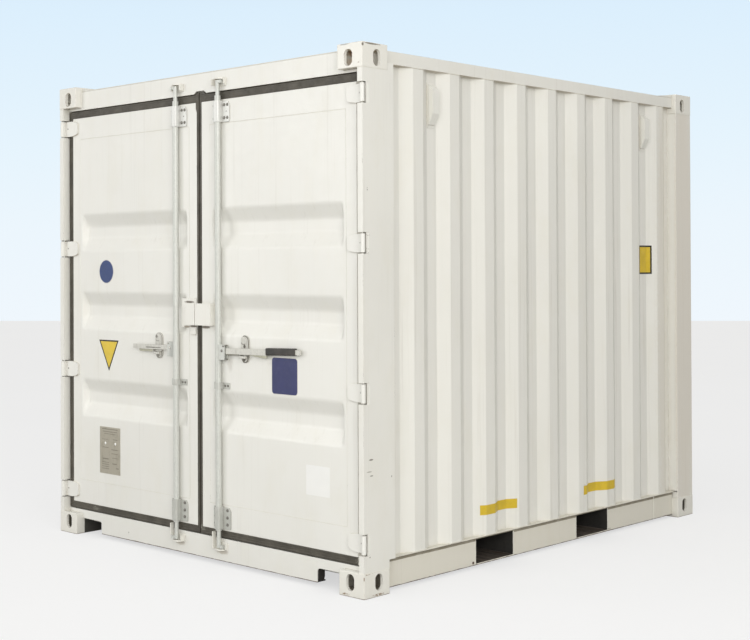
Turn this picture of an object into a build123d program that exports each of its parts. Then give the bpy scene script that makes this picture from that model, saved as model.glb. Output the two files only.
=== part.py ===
from build123d import *
import os

# Ten-foot freight container, 8 ft 6 in high, with a pair of cargo doors.
# Millimetres. +Z up, origin on the ground at the middle of the footprint.
# Y runs along the box: the doors are at -Y, the closed end at +Y.
# X runs across: +X is on the right when the doors are seen from outside.

# ---------------------------------------------------------------- sizes
LENGTH = 2991.0
WIDTH = 2438.0
HEIGHT = 2591.0
HX = WIDTH / 2
HY = LENGTH / 2

# corner castings
CAST_L, CAST_W, CAST_H = 178.0, 162.0, 118.0
CAST_APERTURE_WALL = 28.5
CAST_OUTER_WALL = 16.0
CAST_INNER_WALL = 11.0
SLOT_LEN, SLOT_R = 124.0, 31.75
SLOT_FROM_END, SLOT_FROM_SIDE = 102.0, 89.5
OVAL_H, OVAL_R = 79.0, 25.5

# side structure
PLATE = 6.0                  # pressed posts and rails
POST_X = 1217.5              # outer face of the posts
NEAR_POST_END = -1275.0      # back edge of the door posts, along Y
FAR_POST_START = 1317.5      # front edge of the closed-end posts
WALL_OUT = 1194.0            # outer flats of the side wall
WALL_DEPTH = 36.0            # depth of the corrugation
WALL_T = 2.2                 # sheet thickness measured across
PITCH = 280.0
FIRST_RECESS = -1312.0
RECESS_SLOPE, RECESS_FLOOR = 68.0, 70.0
RAIL_WEB = 1180.0            # outer face of the bottom side rail
RAIL_BOTTOM, RAIL_TOP = 15.0, 160.0
TOP_RAIL_Z0, TOP_RAIL_Z1 = 2508.0, 2568.0
TOP_RAIL_W = 60.0

# fork pockets
POCKET_CENTRES = (-458.0, 442.0)
POCKET_HALF = 160.0
POCKET_Z0, POCKET_Z1 = 22.0, 146.0

# floor
FLOOR_Z0, FLOOR_Z1 = 150.0, 178.0

# door end, depths are measured inwards from the plane of the castings
SKIN_D = 42.0
LEAF_D = 92.0
LEAF_IN, LEAF_OUT = 20.0, 1143.0
LEAF_Z0, LEAF_Z1 = 180.0, 2414.0
HEADER_Z0 = 2459.0
SILL_Z0, SILL_Z1 = 20.0, 138.0
GASKET_D0, GASKET_D1 = 43.5, 84.0
BAND_TOPS = (1850.0, 1400.0, 900.0)
BAND_X0, BAND_X1 = 105.0, 1053.0
BAND_H, BAND_DEPTH, BAND_SLOPE, BAND_END = 210.0, 36.0, 71.0, 20.0
SHEET = 3.0

# hinges
HINGE_X, HINGE_D = 1207.0, 12.5
HINGE_Z = (2355.0, 1653.0, 952.0, 250.0)
KNUCKLE_R, KNUCKLE_H = 11.5, 88.0
PIN_R, PIN_BORE_R = 6.0, 6.3

# lock bars
BAR_X, BAR_D, BAR_R, NECK_R = 172.0, 22.0, 16.0, 11.0
CAM_TOP_Z0, CAM_TOP_Z1 = 2496.0, 2512.0
CAM_BOT_Z0, CAM_BOT_Z1 = 92.0, 108.0
HUB_Z0, HUB_Z1 = 1065.0, 1143.0
HANDLE_PIVOT_X, HANDLE_Z, HANDLE_TILT = 212.0, 1112.0, 1.6

os.makedirs("parts", exist_ok=True)


# ---------------------------------------------------------------- helpers
def dd(d):
    """Depth behind the casting plane of the door end, as Y."""
    return -HY + d


def bx(x0, x1, y0, y1, z0, z1):
    return Pos((x0 + x1) / 2, (y0 + y1) / 2, (z0 + z1) / 2) * Box(x1 - x0, y1 - y0, z1 - z0)


def bd(x0, x1, d0, d1, z0, z1):
    return bx(x0, x1, dd(d0), dd(d1), z0, z1)


def flip_x(s):
    return mirror(s, about=Plane.YZ)


def flip_y(s):
    return mirror(s, about=Plane.XZ)


def prism(points, vec):
    """Polygon through 3-D points, pushed along vec."""
    face = Face(Wire.make_polygon([Vector(*p) for p in points], close=True))
    return Solid.extrude(face, Vector(*vec))


def cyl_z(x, y, r, z0, z1):
    return Pos(x, y, (z0 + z1) / 2) * Cylinder(r, z1 - z0)


def cyl_y(x, z, r, y0, y1):
    return Pos(x, (y0 + y1) / 2, z) * Rot(90, 0, 0) * Cylinder(r, y1 - y0)


def cyl_x(y, z, r, x0, x1):
    return Pos((x0 + x1) / 2, y, z) * Rot(0, 90, 0) * Cylinder(r, x1 - x0)


def frustum(a, b):
    """Ruled solid between two four-point outlines."""
    return Solid.make_loft([Wire.make_polygon([Vector(*p) for p in a], close=True),
                            Wire.make_polygon([Vector(*p) for p in b], close=True)], True)


def save(name, *shapes):
    solids = []
    for s in shapes:
        solids += list(s.solids())
    if len(solids) == 1:
        export_step(solids[0], "parts/%s.step" % name)
    else:
        export_step(Compound(children=solids), "parts/%s.step" % name)


# ---------------------------------------------------------------- castings
def casting():
    """Bottom casting of the +X +Y corner."""
    x0, x1 = HX - CAST_W, HX
    y0, y1 = HY - CAST_L, HY
    body = bx(x0, x1, y0, y1, 0, CAST_H)
    body = fillet(body.edges(), 4.0)
    body -= bx(x0 + CAST_INNER_WALL, x1 - CAST_OUTER_WALL, y0 + CAST_INNER_WALL,
               y1 - CAST_OUTER_WALL, CAST_APERTURE_WALL, CAST_H - 10)
    cx, cy = HX - SLOT_FROM_SIDE, HY - SLOT_FROM_END
    h = SLOT_LEN / 2 - SLOT_R
    body -= bx(cx - SLOT_R, cx + SLOT_R, cy - h, cy + h, -5, CAST_APERTURE_WALL + 1)
    body -= cyl_z(cx, cy - h, SLOT_R, -5, CAST_APERTURE_WALL + 1)
    body -= cyl_z(cx, cy + h, SLOT_R, -5, CAST_APERTURE_WALL + 1)
    zc, v = CAST_APERTURE_WALL + OVAL_H / 2, OVAL_H / 2 - OVAL_R
    sy = HY - 101.5
    body -= bx(x1 - CAST_OUTER_WALL - 1, x1 + 5, sy - OVAL_R, sy + OVAL_R, zc - v, zc + v)
    body -= cyl_x(sy, zc - v, OVAL_R, x1 - CAST_OUTER_WALL - 1, x1 + 5)
    body -= cyl_x(sy, zc + v, OVAL_R, x1 - CAST_OUTER_WALL - 1, x1 + 5)
    ex = HX - 89.0
    body -= bx(ex - OVAL_R, ex + OVAL_R, y1 - CAST_OUTER_WALL - 1, y1 + 5, zc - v, zc + v)
    body -= cyl_y(ex, zc - v, OVAL_R, y1 - CAST_OUTER_WALL - 1, y1 + 5)
    body -= cyl_y(ex, zc + v, OVAL_R, y1 - CAST_OUTER_WALL - 1, y1 + 5)
    return body


c_pp = casting()
c_mp = flip_x(c_pp)
c_pm = flip_y(c_pp)
c_mm = flip_y(c_mp)
save("bottom_corner_castings", c_pp, c_mp, c_pm, c_mm)
mid = Plane(origin=(0, 0, HEIGHT / 2), z_dir=(0, 0, 1))
save("top_corner_castings", *[mirror(c, about=mid) for c in (c_pp, c_mp, c_pm, c_mm)])

# ---------------------------------------------------------------- door posts
# outer plate, front strip, inner return and back plate, with a slot at each hinge
z_lo, z_hi = CAST_H, HEIGHT - CAST_H
post = bd(POST_X - PLATE, POST_X, 2, CAST_L, z_lo, z_hi)
post += bx(POST_X - PLATE, POST_X, dd(CAST_L), NEAR_POST_END, RAIL_TOP, TOP_RAIL_Z0)
post += bd(1185, POST_X, 2, 8, z_lo, z_hi)
post += bd(1185, 1191, 2, CAST_L, z_lo, z_hi)
post += bd(1185, 1191, CAST_L, 220.5, RAIL_TOP, TOP_RAIL_Z0)
post += bx(1156, POST_X, NEAR_POST_END - PLATE, NEAR_POST_END, RAIL_TOP, TOP_RAIL_Z0)
for zc in HINGE_Z:
    post -= bd(1180, HX + 2, -2, 29, zc - 50, zc + 50)
    post -= bd(1180, 1195, -2, 49, zc - 50, zc + 50)
    post -= bd(POST_X - 1.5, HX + 2, 28, 42, zc - 50, zc + 50)
post_r = post
save("right_door_post", post_r)
save("left_door_post", flip_x(post_r))

# hinge pins with the lugs that hold them inside the posts
lugs = []
for zc in HINGE_Z:
    pin = cyl_z(HINGE_X, dd(HINGE_D), PIN_R, zc - 60, zc + 60)
    for z0, z1 in ((zc + 50, zc + 60), (zc - 60, zc - 50)):
        pin += bd(1191, POST_X - PLATE, 8, 26, z0, z1)
        pin -= bd(POST_X - PLATE, HX, 0, 30, z0, z1)
        pin -= bd(1185, HX, 0, 8, z0, z1)
    lugs += [pin, flip_x(pin)]
save("hinge_pins", *lugs)

# ---------------------------------------------------------------- closed-end posts
fp = bx(POST_X - PLATE, POST_X, FAR_POST_START, HY - 2, z_lo, z_hi)
fp += bx(1057, POST_X, HY - 2 - PLATE, HY - 2, z_lo, z_hi)
fp += bx(1057, 1057 + PLATE, 1425, HY - 2, z_lo, z_hi)
fp += bx(1155, POST_X, FAR_POST_START, FAR_POST_START + PLATE, RAIL_TOP, z_hi)
fp += bx(RAIL_WEB, POST_X, FAR_POST_START, FAR_POST_START + PLATE, z_lo, RAIL_TOP - 5)
save("right_end_post", fp)
save("left_end_post", flip_x(fp))

# ---------------------------------------------------------------- door header and sill
hd0, hd1 = SKIN_D, SKIN_D + 70
header = bd(-1057, 1057, hd0, hd1, HEADER_Z0, TOP_RAIL_Z1)
header += bd(-1185, 1185, hd0, hd1, HEADER_Z0, z_hi)
header -= bd(-1070, 1070, hd0 + 5, hd1 - 5, HEADER_Z0 + 5, TOP_RAIL_Z1 - 5)
# relief over the meeting seals, at the middle of the lower edge
header -= prism([(-48, dd(30), HEADER_Z0 - 5), (62, dd(30), HEADER_Z0 - 5),
                 (40, dd(30), HEADER_Z0 + 14), (-22, dd(30), HEADER_Z0 + 14)], (0, 32, 0))
header += bd(-60, 75, hd0 + 20, hd0 + 26, HEADER_Z0, HEADER_Z0 + 22)
save("door_header", header)

sill = bd(-1057, 1057, SKIN_D, SKIN_D + PLATE, SILL_Z0, SILL_Z1)
sill += bd(-1185, 1185, SKIN_D, SKIN_D + PLATE, CAST_H, SILL_Z1)
sill += bd(-1185, 1185, SKIN_D, 130, SILL_Z1 - PLATE, SILL_Z1)
sill += bd(-1057, 1057, 124, 130, 60, FLOOR_Z1)
sill += bd(-870, 870, SKIN_D, 100, SILL_Z0, SILL_Z0 + PLATE)
notch_line = [(870, SILL_Z0 - 5), (870, 72), (872, 80), (877, 85.5), (883, 89), (890, 90), (1062, 90), (1062, SILL_Z0 - 5)]
for s in (-1, 1):
    sill -= prism([(s * x, dd(SKIN_D - 5), z) for x, z in notch_line], (0, PLATE + 10, 0))
    sill += prism([(s * 866, dd(SKIN_D + 3), SILL_Z0 + 2), (s * 866, dd(88), SILL_Z0 + 2), (s * 866, dd(96), 42),
                   (s * 866, dd(96), 90), (s * 866, dd(SKIN_D + 3), 90)], (s * 4, 0, 0))
save("door_sill", sill)

# ---------------------------------------------------------------- side rails
ye = HY - CAST_L
rail = bx(RAIL_WEB - PLATE, RAIL_WEB, -ye, ye, RAIL_BOTTOM, RAIL_TOP)
rail += bx(1128, WALL_OUT, -ye, ye, RAIL_TOP - 5, RAIL_TOP)
rail += bx(1135, RAIL_WEB, -ye, ye, RAIL_BOTTOM, RAIL_BOTTOM + 6)
for c in POCKET_CENTRES:
    rail -= bx(1100, 1200, c - POCKET_HALF, c + POCKET_HALF, POCKET_Z0, POCKET_Z1)
    rail -= bx(1100, RAIL_WEB - PLATE, c - POCKET_HALF - 8, c + POCKET_HALF + 8,
               RAIL_BOTTOM - 1, FLOOR_Z0)
save("right_bottom_rail", rail)
save("left_bottom_rail", flip_x(rail))

trail = bx(WALL_OUT - TOP_RAIL_W, WALL_OUT, -ye, ye, TOP_RAIL_Z0, TOP_RAIL_Z1)
trail -= bx(WALL_OUT - TOP_RAIL_W + 4, WALL_OUT - 4, -ye - 1, ye + 1,
            TOP_RAIL_Z0 + 4, TOP_RAIL_Z1 - 4)
save("right_top_rail", trail)
save("left_top_rail", flip_x(trail))

# ---------------------------------------------------------------- side walls
def wall_path(y0, y1):
    raw = []
    s = FIRST_RECESS
    while s < y1 + 400:
        raw += [(s, 0.0), (s + RECESS_SLOPE, 1.0),
                (s + RECESS_SLOPE + RECESS_FLOOR, 1.0),
                (s + 2 * RECESS_SLOPE + RECESS_FLOOR, 0.0)]
        s += PITCH

    def at(y):
        for (ya, va), (yb, vb) in zip(raw, raw[1:]):
            if ya <= y <= yb:
                return va + (vb - va) * (y - ya) / (yb - ya)
        return 0.0
    pts = [(y0, at(y0))] + [p for p in raw if y0 + 1 < p[0] < y1 - 1] + [(y1, at(y1))]
    return [(WALL_OUT - WALL_DEPTH * v, y) for y, v in pts]


pts = wall_path(NEAR_POST_END, FAR_POST_START)
outer = FilletPolyline(*pts, radius=7)
inner = Pos(-WALL_T, 0, 0) * outer
a0, a1 = pts[0], pts[-1]
edges = list(outer.edges()) + list(inner.edges())
edges += list(Line((a0[0], a0[1]), (a0[0] - WALL_T, a0[1])).edges())
edges += list(Line((a1[0], a1[1]), (a1[0] - WALL_T, a1[1])).edges())
wall_face = make_face(edges)
wall = extrude(wall_face, amount=TOP_RAIL_Z0 - RAIL_TOP, dir=(0, 0, 1))
wall = Pos(0, 0, RAIL_TOP) * wall
save("right_side_wall", wall)
save("left_side_wall", flip_x(wall))

# ---------------------------------------------------------------- closed end
save("end_bottom_rail",
     bx(-1057, 1057, 1425, 1487, RAIL_BOTTOM, FLOOR_Z0)
     - bx(-1060, 1060, 1431, 1481, RAIL_BOTTOM + 6, FLOOR_Z0 - 6))
save("end_top_rail",
     bx(-1057, 1057, 1425, 1487, TOP_RAIL_Z0, TOP_RAIL_Z1)
     - bx(-1060, 1060, 1429, 1483, TOP_RAIL_Z0 + 4, TOP_RAIL_Z1 - 4))

EW_OUT, EW_IN, EW_PITCH = 1477.0, 1435.0, 250.0
raw = [(-1057.0, EW_OUT)]
s = -3.5 * EW_PITCH - 70
for k in range(8):
    raw += [(s, EW_OUT), (s + 18, EW_IN), (s + 122, EW_IN), (s + 140, EW_OUT)]
    s += EW_PITCH
raw += [(1057.0, EW_OUT)]
outer = FilletPolyline(*raw, radius=5)
inner = Pos(0, -2.0, 0) * outer
edges = list(outer.edges()) + list(inner.edges())
edges += list(Line((-1057, EW_OUT), (-1057, EW_OUT - 2.0)).edges())
edges += list(Line((1057, EW_OUT), (1057, EW_OUT - 2.0)).edges())
ew = Pos(0, 0, FLOOR_Z0) * extrude(make_face(edges), amount=TOP_RAIL_Z0 - FLOOR_Z0, dir=(0, 0, 1))
save("end_wall", ew)

# ---------------------------------------------------------------- roof
rz0, rz1 = TOP_RAIL_Z1, TOP_RAIL_Z1 + 2
roof = bx(-1190, 1190, -ye + 2, ye - 2, rz0, rz1)
roof += bx(-1055, 1055, dd(SKIN_D + 3), 1484, rz0, rz1)
trough_len, trough_w, trough_d = 1050.0, 116.0, 20.0
y = -12 * 104.5
while y <= 12 * 104.5 + 1:
    if abs(y) < 1260:
        def outline(h, w, z):
            return [(-h, y - w, z), (h, y - w, z), (h, y + w, z), (-h, y + w, z)]
        roof += frustum(outline(trough_len + 2, trough_w / 2 + 2, rz1),
                        outline(trough_len - 18, trough_w / 2 - 18, rz0 - trough_d))
        roof -= frustum(outline(trough_len + 1, trough_w / 2 + 1, rz1 + 1),
                        outline(trough_len - 20, trough_w / 2 - 20, rz1 - trough_d))
    y += 209.0
save("roof_panel", roof)

# sloping plates that lead up to the castings at the closed end
gus = prism([(1062, 1150, rz1), (1062, ye, rz1), (1062, ye, rz1 + 18), (1062, ye - 3, rz1 + 18)],
            (WALL_OUT - 1062 - 2, 0, 0))
# small wedge beside the left casting over the doors
gus_l = prism([(-1057, dd(48), TOP_RAIL_Z1 + 2), (-978, dd(48), TOP_RAIL_Z1 + 2),
               (-1020, dd(48), TOP_RAIL_Z1 + 7), (-1057, dd(48), TOP_RAIL_Z1 + 16)], (0, 110, 0))
save("roof_corner_plates", gus, flip_x(gus), gus_l)

# ---------------------------------------------------------------- floor and underframe
save("floor_boards", bx(-1126, 1126, dd(131), 1424, FLOOR_Z0, FLOOR_Z1)
     - bx(1056, 1200, -1400, -ye + 2, 140, 180) - bx(-1200, -1056, -1400, -ye + 2, 140, 180)
     - bx(1056, 1200, ye - 2, 1430, 140, 180) - bx(-1200, -1056, ye - 2, 1430, 140, 180))

beams = []
for yc in (-1240, -1020, -810, -180, -8, 165, 760, 965, 1175):
    b = bx(-1127, 1127, yc, yc + 4, FLOOR_Z0 - 122, FLOOR_Z0)
    b += bx(-1127, 1127, yc, yc + 45, FLOOR_Z0 - 4, FLOOR_Z0)
    b += bx(-1127, 1127, yc, yc + 45, FLOOR_Z0 - 122, FLOOR_Z0 - 118)
    beams.append(b)
save("cross_members", *beams)

for name, c in zip(("door_end_fork_pocket", "closed_end_fork_pocket"), POCKET_CENTRES):
    h = POCKET_HALF
    tw = RAIL_WEB - PLATE
    t = bx(-tw, tw, c - h - 6, c - h, RAIL_BOTTOM + 1, FLOOR_Z0)
    t += bx(-tw, tw, c + h, c + h + 6, RAIL_BOTTOM + 1, FLOOR_Z0)
    t += bx(-tw, tw, c - h - 6, c + h + 6, FLOOR_Z0 - 4, FLOOR_Z0)
    t += bx(tw - 420, tw, c - h - 6, c + h + 6, RAIL_BOTTOM + 1, POCKET_Z0)
    t += bx(-tw, -tw + 420, c - h - 6, c + h + 6, RAIL_BOTTOM + 1, POCKET_Z0)
    save(name, t)

# ---------------------------------------------------------------- ventilators
vents = []
for k in (1, 8):
    yc = FIRST_RECESS + k * PITCH + RECESS_SLOPE + RECESS_FLOOR / 2
    xf = WALL_OUT - WALL_DEPTH
    # flange on the sheet and a hood with sloping ends, set a little towards the doors
    v = bx(xf, xf + 3, yc - 33, yc + 20, 2229, 2453)
    v += prism([(xf, yc - 31, 2244), (xf + 11, yc - 31, 2244), (xf + 38, yc - 31, 2297), (xf + 38, yc - 31, 2415),
                (xf + 14, yc - 31, 2438), (xf, yc - 31, 2438)], (0, 48, 0))
    vents += [v, flip_x(v)]
save("ventilators", *vents)


# ---------------------------------------------------------------- cam keepers
def keeper(x, z_floor, z_ceil, up):
    """Bracket around one cam: back plate, half-round shelf beyond the cam and a lug on each side."""
    k = bd(x - 46, x + 46, 37, SKIN_D, z_floor - 8, z_ceil + 8)
    shelf = (z_ceil, z_ceil + 8) if up else (z_floor - 8, z_floor)
    disc = cyl_z(x, dd(SKIN_D), 34.0, *shelf)
    disc -= bd(x - 50, x + 50, SKIN_D, SKIN_D + 60, z_floor - 20, z_ceil + 20)
    k += disc
    k += bd(x - 46, x - 39, 14, SKIN_D, z_floor - 4, z_ceil + 4)
    k += bd(x + 39, x + 46, 26, SKIN_D, z_floor, z_ceil)
    return k


k_top = keeper(BAR_X, CAM_TOP_Z0 - 5, CAM_TOP_Z1 + 5, True)
k_bot = keeper(BAR_X, CAM_BOT_Z0 - 5, CAM_BOT_Z1 + 5, False)
# tall guide cheek beside the lower cam, on the left of each bar
cheek = bd(BAR_X - 46, BAR_X - 39, 14, 36, CAM_BOT_Z1, 172)
cheek_l = bd(-BAR_X - 46, -BAR_X - 39, 14, 36, CAM_BOT_Z1, 172)
save("cam_keepers", k_top, flip_x(k_top), k_bot + cheek, flip_x(k_bot) + cheek_l)

# ---------------------------------------------------------------- door leaves
def door_frame():
    f = bd(LEAF_IN, LEAF_OUT, SKIN_D, LEAF_D, LEAF_Z0, LEAF_Z1)
    f -= bd(84, 1072, SKIN_D - 5, LEAF_D + 5, 315, 2290)
    return f


def door_panel():
    x0, x1, z0, z1 = 84.0, 1072.0, 315.0, 2290.0
    d0, d1 = SKIN_D, SKIN_D + SHEET
    p = bd(x0, x1, d0, d1, z0, z1)
    for zt in BAND_TOPS:
        zb = zt - BAND_H

        def outline(d, e, zs, grow):
            g = grow
            return [(BAND_X0 + e - g, dd(d), zb + zs - g), (BAND_X1 - e + g, dd(d), zb + zs - g),
                    (BAND_X1 - e + g, dd(d), zt - zs + g), (BAND_X0 + e - g, dd(d), zt - zs + g)]
        full = BAND_DEPTH
        # outer skin of the pressing, then the hollow of it
        p += frustum(outline(d0, 0, 0, 3.0), outline(d0 + full + SHEET, BAND_END, BAND_SLOPE, 1.5))
        e1 = BAND_END / full
        s1 = BAND_SLOPE / full
        p -= frustum(outline(d0 - 1, -e1, -s1, 0), outline(d0 + full, BAND_END, BAND_SLOPE, 0))
    return p


def door_gasket():
    g = bd(4, 1179.5, GASKET_D0, GASKET_D1, SILL_Z1 + 5, HEADER_Z0 - 5)
    g -= bd(LEAF_IN, LEAF_OUT, GASKET_D0 - 5, GASKET_D1 + 5, LEAF_Z0, LEAF_Z1)
    return g


def hinge_blades():
    out = []
    for zc in HINGE_Z:
        h = KNUCKLE_H / 2
        k = cyl_z(HINGE_X, dd(HINGE_D), KNUCKLE_R, zc - h, zc + h)
        k += bd(HINGE_X - KNUCKLE_R, HINGE_X, HINGE_D, SKIN_D, zc - h, zc + h)
        k += bd(1143, HINGE_X, 30, SKIN_D, zc - h, zc + h)
        k += prism([(1143, dd(30), zc - h), (1143, dd(30), zc + h), (1100, dd(30), zc + h - 7),
                    (1087, dd(30), zc + h - 16), (1087, dd(30), zc - h + 16),
                    (1100, dd(30), zc - h + 7)], (0, SKIN_D - 30, 0))
        k -= cyl_z(HINGE_X, dd(HINGE_D), PIN_BORE_R, zc - h - 1, zc + h + 1)
        out.append(k)
    return out


def sleeve(x, w, d0, z0, z1):
    """Pressed housing with a flat front and rounded front corners."""
    b = bd(x - w, x + w, d0, SKIN_D, z0, z1)
    y0 = dd(d0)
    front = [e for e in b.edges().filter_by(Axis.Z) if abs(e.center().Y - y0) < 0.1]
    return fillet(front, 13.0)


def bar_brackets(x):
    out = []
    yb = dd(BAR_D)
    for z0, z1 in ((2295, 2405), (190, 305)):
        b = sleeve(x, 20.5, 3, z0, z1)
        b += bd(x - 56, x - 18, 37, SKIN_D, z0 + 4, z1 - 4)
        b += prism([(x + 18, dd(36), z0), (x + 70, dd(36), z0), (x + 74, dd(36), z0 + 6),
                    (x + 74, dd(36), z1 - 22), (x + 62, dd(36), z1 - 4), (x + 18, dd(36), z1 - 4)],
                   (0, SKIN_D - 36, 0))
        b -= cyl_z(x, yb, BAR_R + 0.5, z0 - 1, z1 + 1)
        out.append(b)
    z0, z1 = 914, 946
    b = sleeve(x, 20.0, 3.5, z0, z1)
    b += bd(x - 50, x + 70, 37, SKIN_D, z0, z1)
    b -= cyl_z(x, yb, BAR_R + 0.5, z0 - 1, z1 + 1)
    out.append(b)
    return out


def handle_catch(x):
    """Oval plate on the leaf with a shelf below the handle."""
    w, z0, z1 = 30.0, 1055.0, 1195.0
    c = bd(x - w, x + w, 34, SKIN_D, z0 + w, z1 - w)
    c += cyl_y(x, z0 + w, w, dd(34), dd(SKIN_D))
    c += cyl_y(x, z1 - w, w, dd(34), dd(SKIN_D))
    c += bd(x - 24, x + 24, 15, SKIN_D, 1078, 1090)
    c -= cyl_y(x, z1 - w + 4, 9, dd(30), dd(38))
    return c


def lock_box_half(right):
    """Half of the cover over the padlock; the seam is on the door gap."""
    if right:
        b = bd(3, 125, 6, 9.5, 1238, 1353)
        b += bd(121.5, 125, 6, SKIN_D, 1238, 1353)
        b += bd(24, 34, 30, SKIN_D, 1244, 1347)
        b += bd(24, 125, 38, SKIN_D, 1234, 1357)
    else:
        b = bd(-79, -3, 6, 9.5, 1238, 1353)
        b += bd(-6.5, -3, 6, 20, 1238, 1353)
        b += bd(-79, -75.5, 6, SKIN_D, 1238, 1353)
        b += bd(-144, -22, 37, SKIN_D, 1222, 1378)
        b += bd(-64, -22, 31, SKIN_D, 1187, 1226)
    return b


# the left leaf has a small notch at its upper inner corner, filled by the seal
notch = [(-18, 2362), (-20, 2362), (-29, 2382), (-29, 2421), (-18, 2421)]
save("right_door_frame", door_frame())
save("left_door_frame", flip_x(door_frame())
     - prism([(x, dd(SKIN_D - 1), z) for x, z in notch], (0, LEAF_D - SKIN_D + 2, 0)))
panel = door_panel()
save("right_door_panel", panel)
save("left_door_panel", flip_x(panel))
gasket = door_gasket()
# raised tab of each seal inside the relief of the header
TAB_Z0, TAB_Z1 = HEADER_Z0 - 6, HEADER_Z0 + 9
tab_r = prism([(4, dd(GASKET_D0), TAB_Z0), (52, dd(GASKET_D0), TAB_Z0), (35, dd(GASKET_D0), TAB_Z1),
               (4, dd(GASKET_D0), TAB_Z1)], (0, 10, 0))
tab_l = prism([(-4, dd(GASKET_D0), TAB_Z0), (-38, dd(GASKET_D0), TAB_Z0), (-18, dd(GASKET_D0), TAB_Z1),
               (-4, dd(GASKET_D0), TAB_Z1)], (0, 10, 0))
fill = prism([(x, dd(GASKET_D0), z) for x, z in notch], (0, GASKET_D1 - GASKET_D0, 0))
save("right_door_gasket", gasket + tab_r)
save("left_door_gasket", flip_x(gasket) + tab_l + fill)
blades = hinge_blades()
save("right_hinge_blades", *blades)
save("left_hinge_blades", *[flip_x(b) for b in blades])
save("right_bar_brackets", *bar_brackets(BAR_X))
save("left_bar_brackets", *bar_brackets(-BAR_X))
save("right_handle_catch", handle_catch(362))
save("left_handle_catch", Pos(0, 0, -6) * handle_catch(-336))
save("right_lock_box", lock_box_half(True))
save("left_lock_box", lock_box_half(False))

# metal plate low on the left leaf
save("data_plate", bd(-884, -694, SKIN_D - 2, SKIN_D, 371, 636))


# ---------------------------------------------------------------- lock bars
def lock_bar():
    yb = dd(BAR_D)
    r = cyl_z(BAR_X, yb, BAR_R, 182, 2432)
    r += cyl_z(BAR_X, yb, NECK_R, 2432, CAM_TOP_Z1)
    r += cyl_z(BAR_X, yb, NECK_R, CAM_BOT_Z0, 182)
    for z0, z1 in ((CAM_TOP_Z0, CAM_TOP_Z1), (CAM_BOT_Z0, CAM_BOT_Z1)):
        r += bx(BAR_X, BAR_X + 32, yb - 8, yb + 8, z0, z1)
        r += bx(BAR_X + 20, BAR_X + 32, yb - 12, yb + 8, z0, z1)
    # fork that carries the handle
    for d0, d1 in ((10, 15), (29, 34)):
        r += bd(BAR_X, BAR_X + 60, d0, d1, HUB_Z0, HUB_Z1)
    r += bd(BAR_X, BAR_X + 17, 10, 34, HUB_Z0, HUB_Z1)
    r += cyl_y(HANDLE_PIVOT_X, HANDLE_Z, 5.0, dd(8), dd(36))
    return r


bar = lock_bar()
save("right_lock_bar", bar)
save("left_lock_bar", flip_x(bar))

# ---------------------------------------------------------------- handles
z = HANDLE_Z
def tilted(shape):
    """Turns a shape about the handle pivot by the small angle at which the handle rests."""
    return Pos(HANDLE_PIVOT_X, 0, z) * Rot(0, -HANDLE_TILT, 0) * Pos(-HANDLE_PIVOT_X, 0, -z) * shape


h_r = prism([(198, dd(17), z - 14), (240, dd(17), z - 17), (340, dd(17), z - 18), (430, dd(17), z - 20),
             (541, dd(17), z - 21), (541, dd(17), z + 12), (440, dd(17), z + 11), (198, dd(17), z + 13)], (0, 10, 0))
h_r += bd(541, 747, 17, 27, z - 12, z + 10)
h_r += bd(747, 783, 17, 27, z - 16, z + 9)
h_r -= cyl_y(HANDLE_PIVOT_X, z, 5.3, dd(10), dd(34))
save("right_handle", tilted(h_r))
grip = bd(541, 747, 12, 32, z - 19, z + 17)
grip = fillet(grip.edges().filter_by(Axis.X), 6.0)
grip -= bd(540, 748, 17, 27, z - 12, z + 10)
save("right_handle_grip", tilted(grip))

# the left handle is a flat bar with a lip along its lower edge, set back from the front
h_l = prism([(-198, dd(17), z - 13), (-354, dd(17), z - 13), (-372, dd(17), z - 15), (-496, dd(17), z - 15),
             (-540, dd(17), z - 14), (-540, dd(17), z + 9), (-380, dd(17), z + 12), (-198, dd(17), z + 13)], (0, 10, 0))
h_l += prism([(-366, dd(22), z - 14), (-374, dd(22), z - 28), (-482, dd(22), z - 28), (-492, dd(22), z - 22),
              (-492, dd(22), z - 14)], (0, 5, 0))
h_l -= cyl_y(-HANDLE_PIVOT_X, z, 5.3, dd(10), dd(34))
save("left_handle", h_l)

print("done")
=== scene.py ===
import bmesh
import bpy
import math
import random
from mathutils import Matrix, Vector

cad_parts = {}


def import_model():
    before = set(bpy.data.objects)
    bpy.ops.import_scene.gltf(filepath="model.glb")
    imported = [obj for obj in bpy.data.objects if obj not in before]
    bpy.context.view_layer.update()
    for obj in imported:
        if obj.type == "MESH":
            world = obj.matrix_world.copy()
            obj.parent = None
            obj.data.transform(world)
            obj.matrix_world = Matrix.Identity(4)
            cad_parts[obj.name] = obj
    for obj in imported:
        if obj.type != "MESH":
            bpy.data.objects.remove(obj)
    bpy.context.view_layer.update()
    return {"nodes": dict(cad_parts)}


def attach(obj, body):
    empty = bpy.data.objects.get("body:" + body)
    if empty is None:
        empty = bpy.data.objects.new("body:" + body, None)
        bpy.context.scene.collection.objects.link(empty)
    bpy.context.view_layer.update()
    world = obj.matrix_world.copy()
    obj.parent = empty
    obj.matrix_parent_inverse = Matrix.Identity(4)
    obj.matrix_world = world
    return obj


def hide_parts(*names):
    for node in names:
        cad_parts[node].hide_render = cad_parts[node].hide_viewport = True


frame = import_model()
NODES = frame["nodes"]
RNG = random.Random(20)

HX, HY = 1.219, 1.4955
MM = 0.001


def dd(d):
    """Depth in millimetres behind the door casting plane, as Y in metres."""
    return -HY + d * MM


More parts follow.
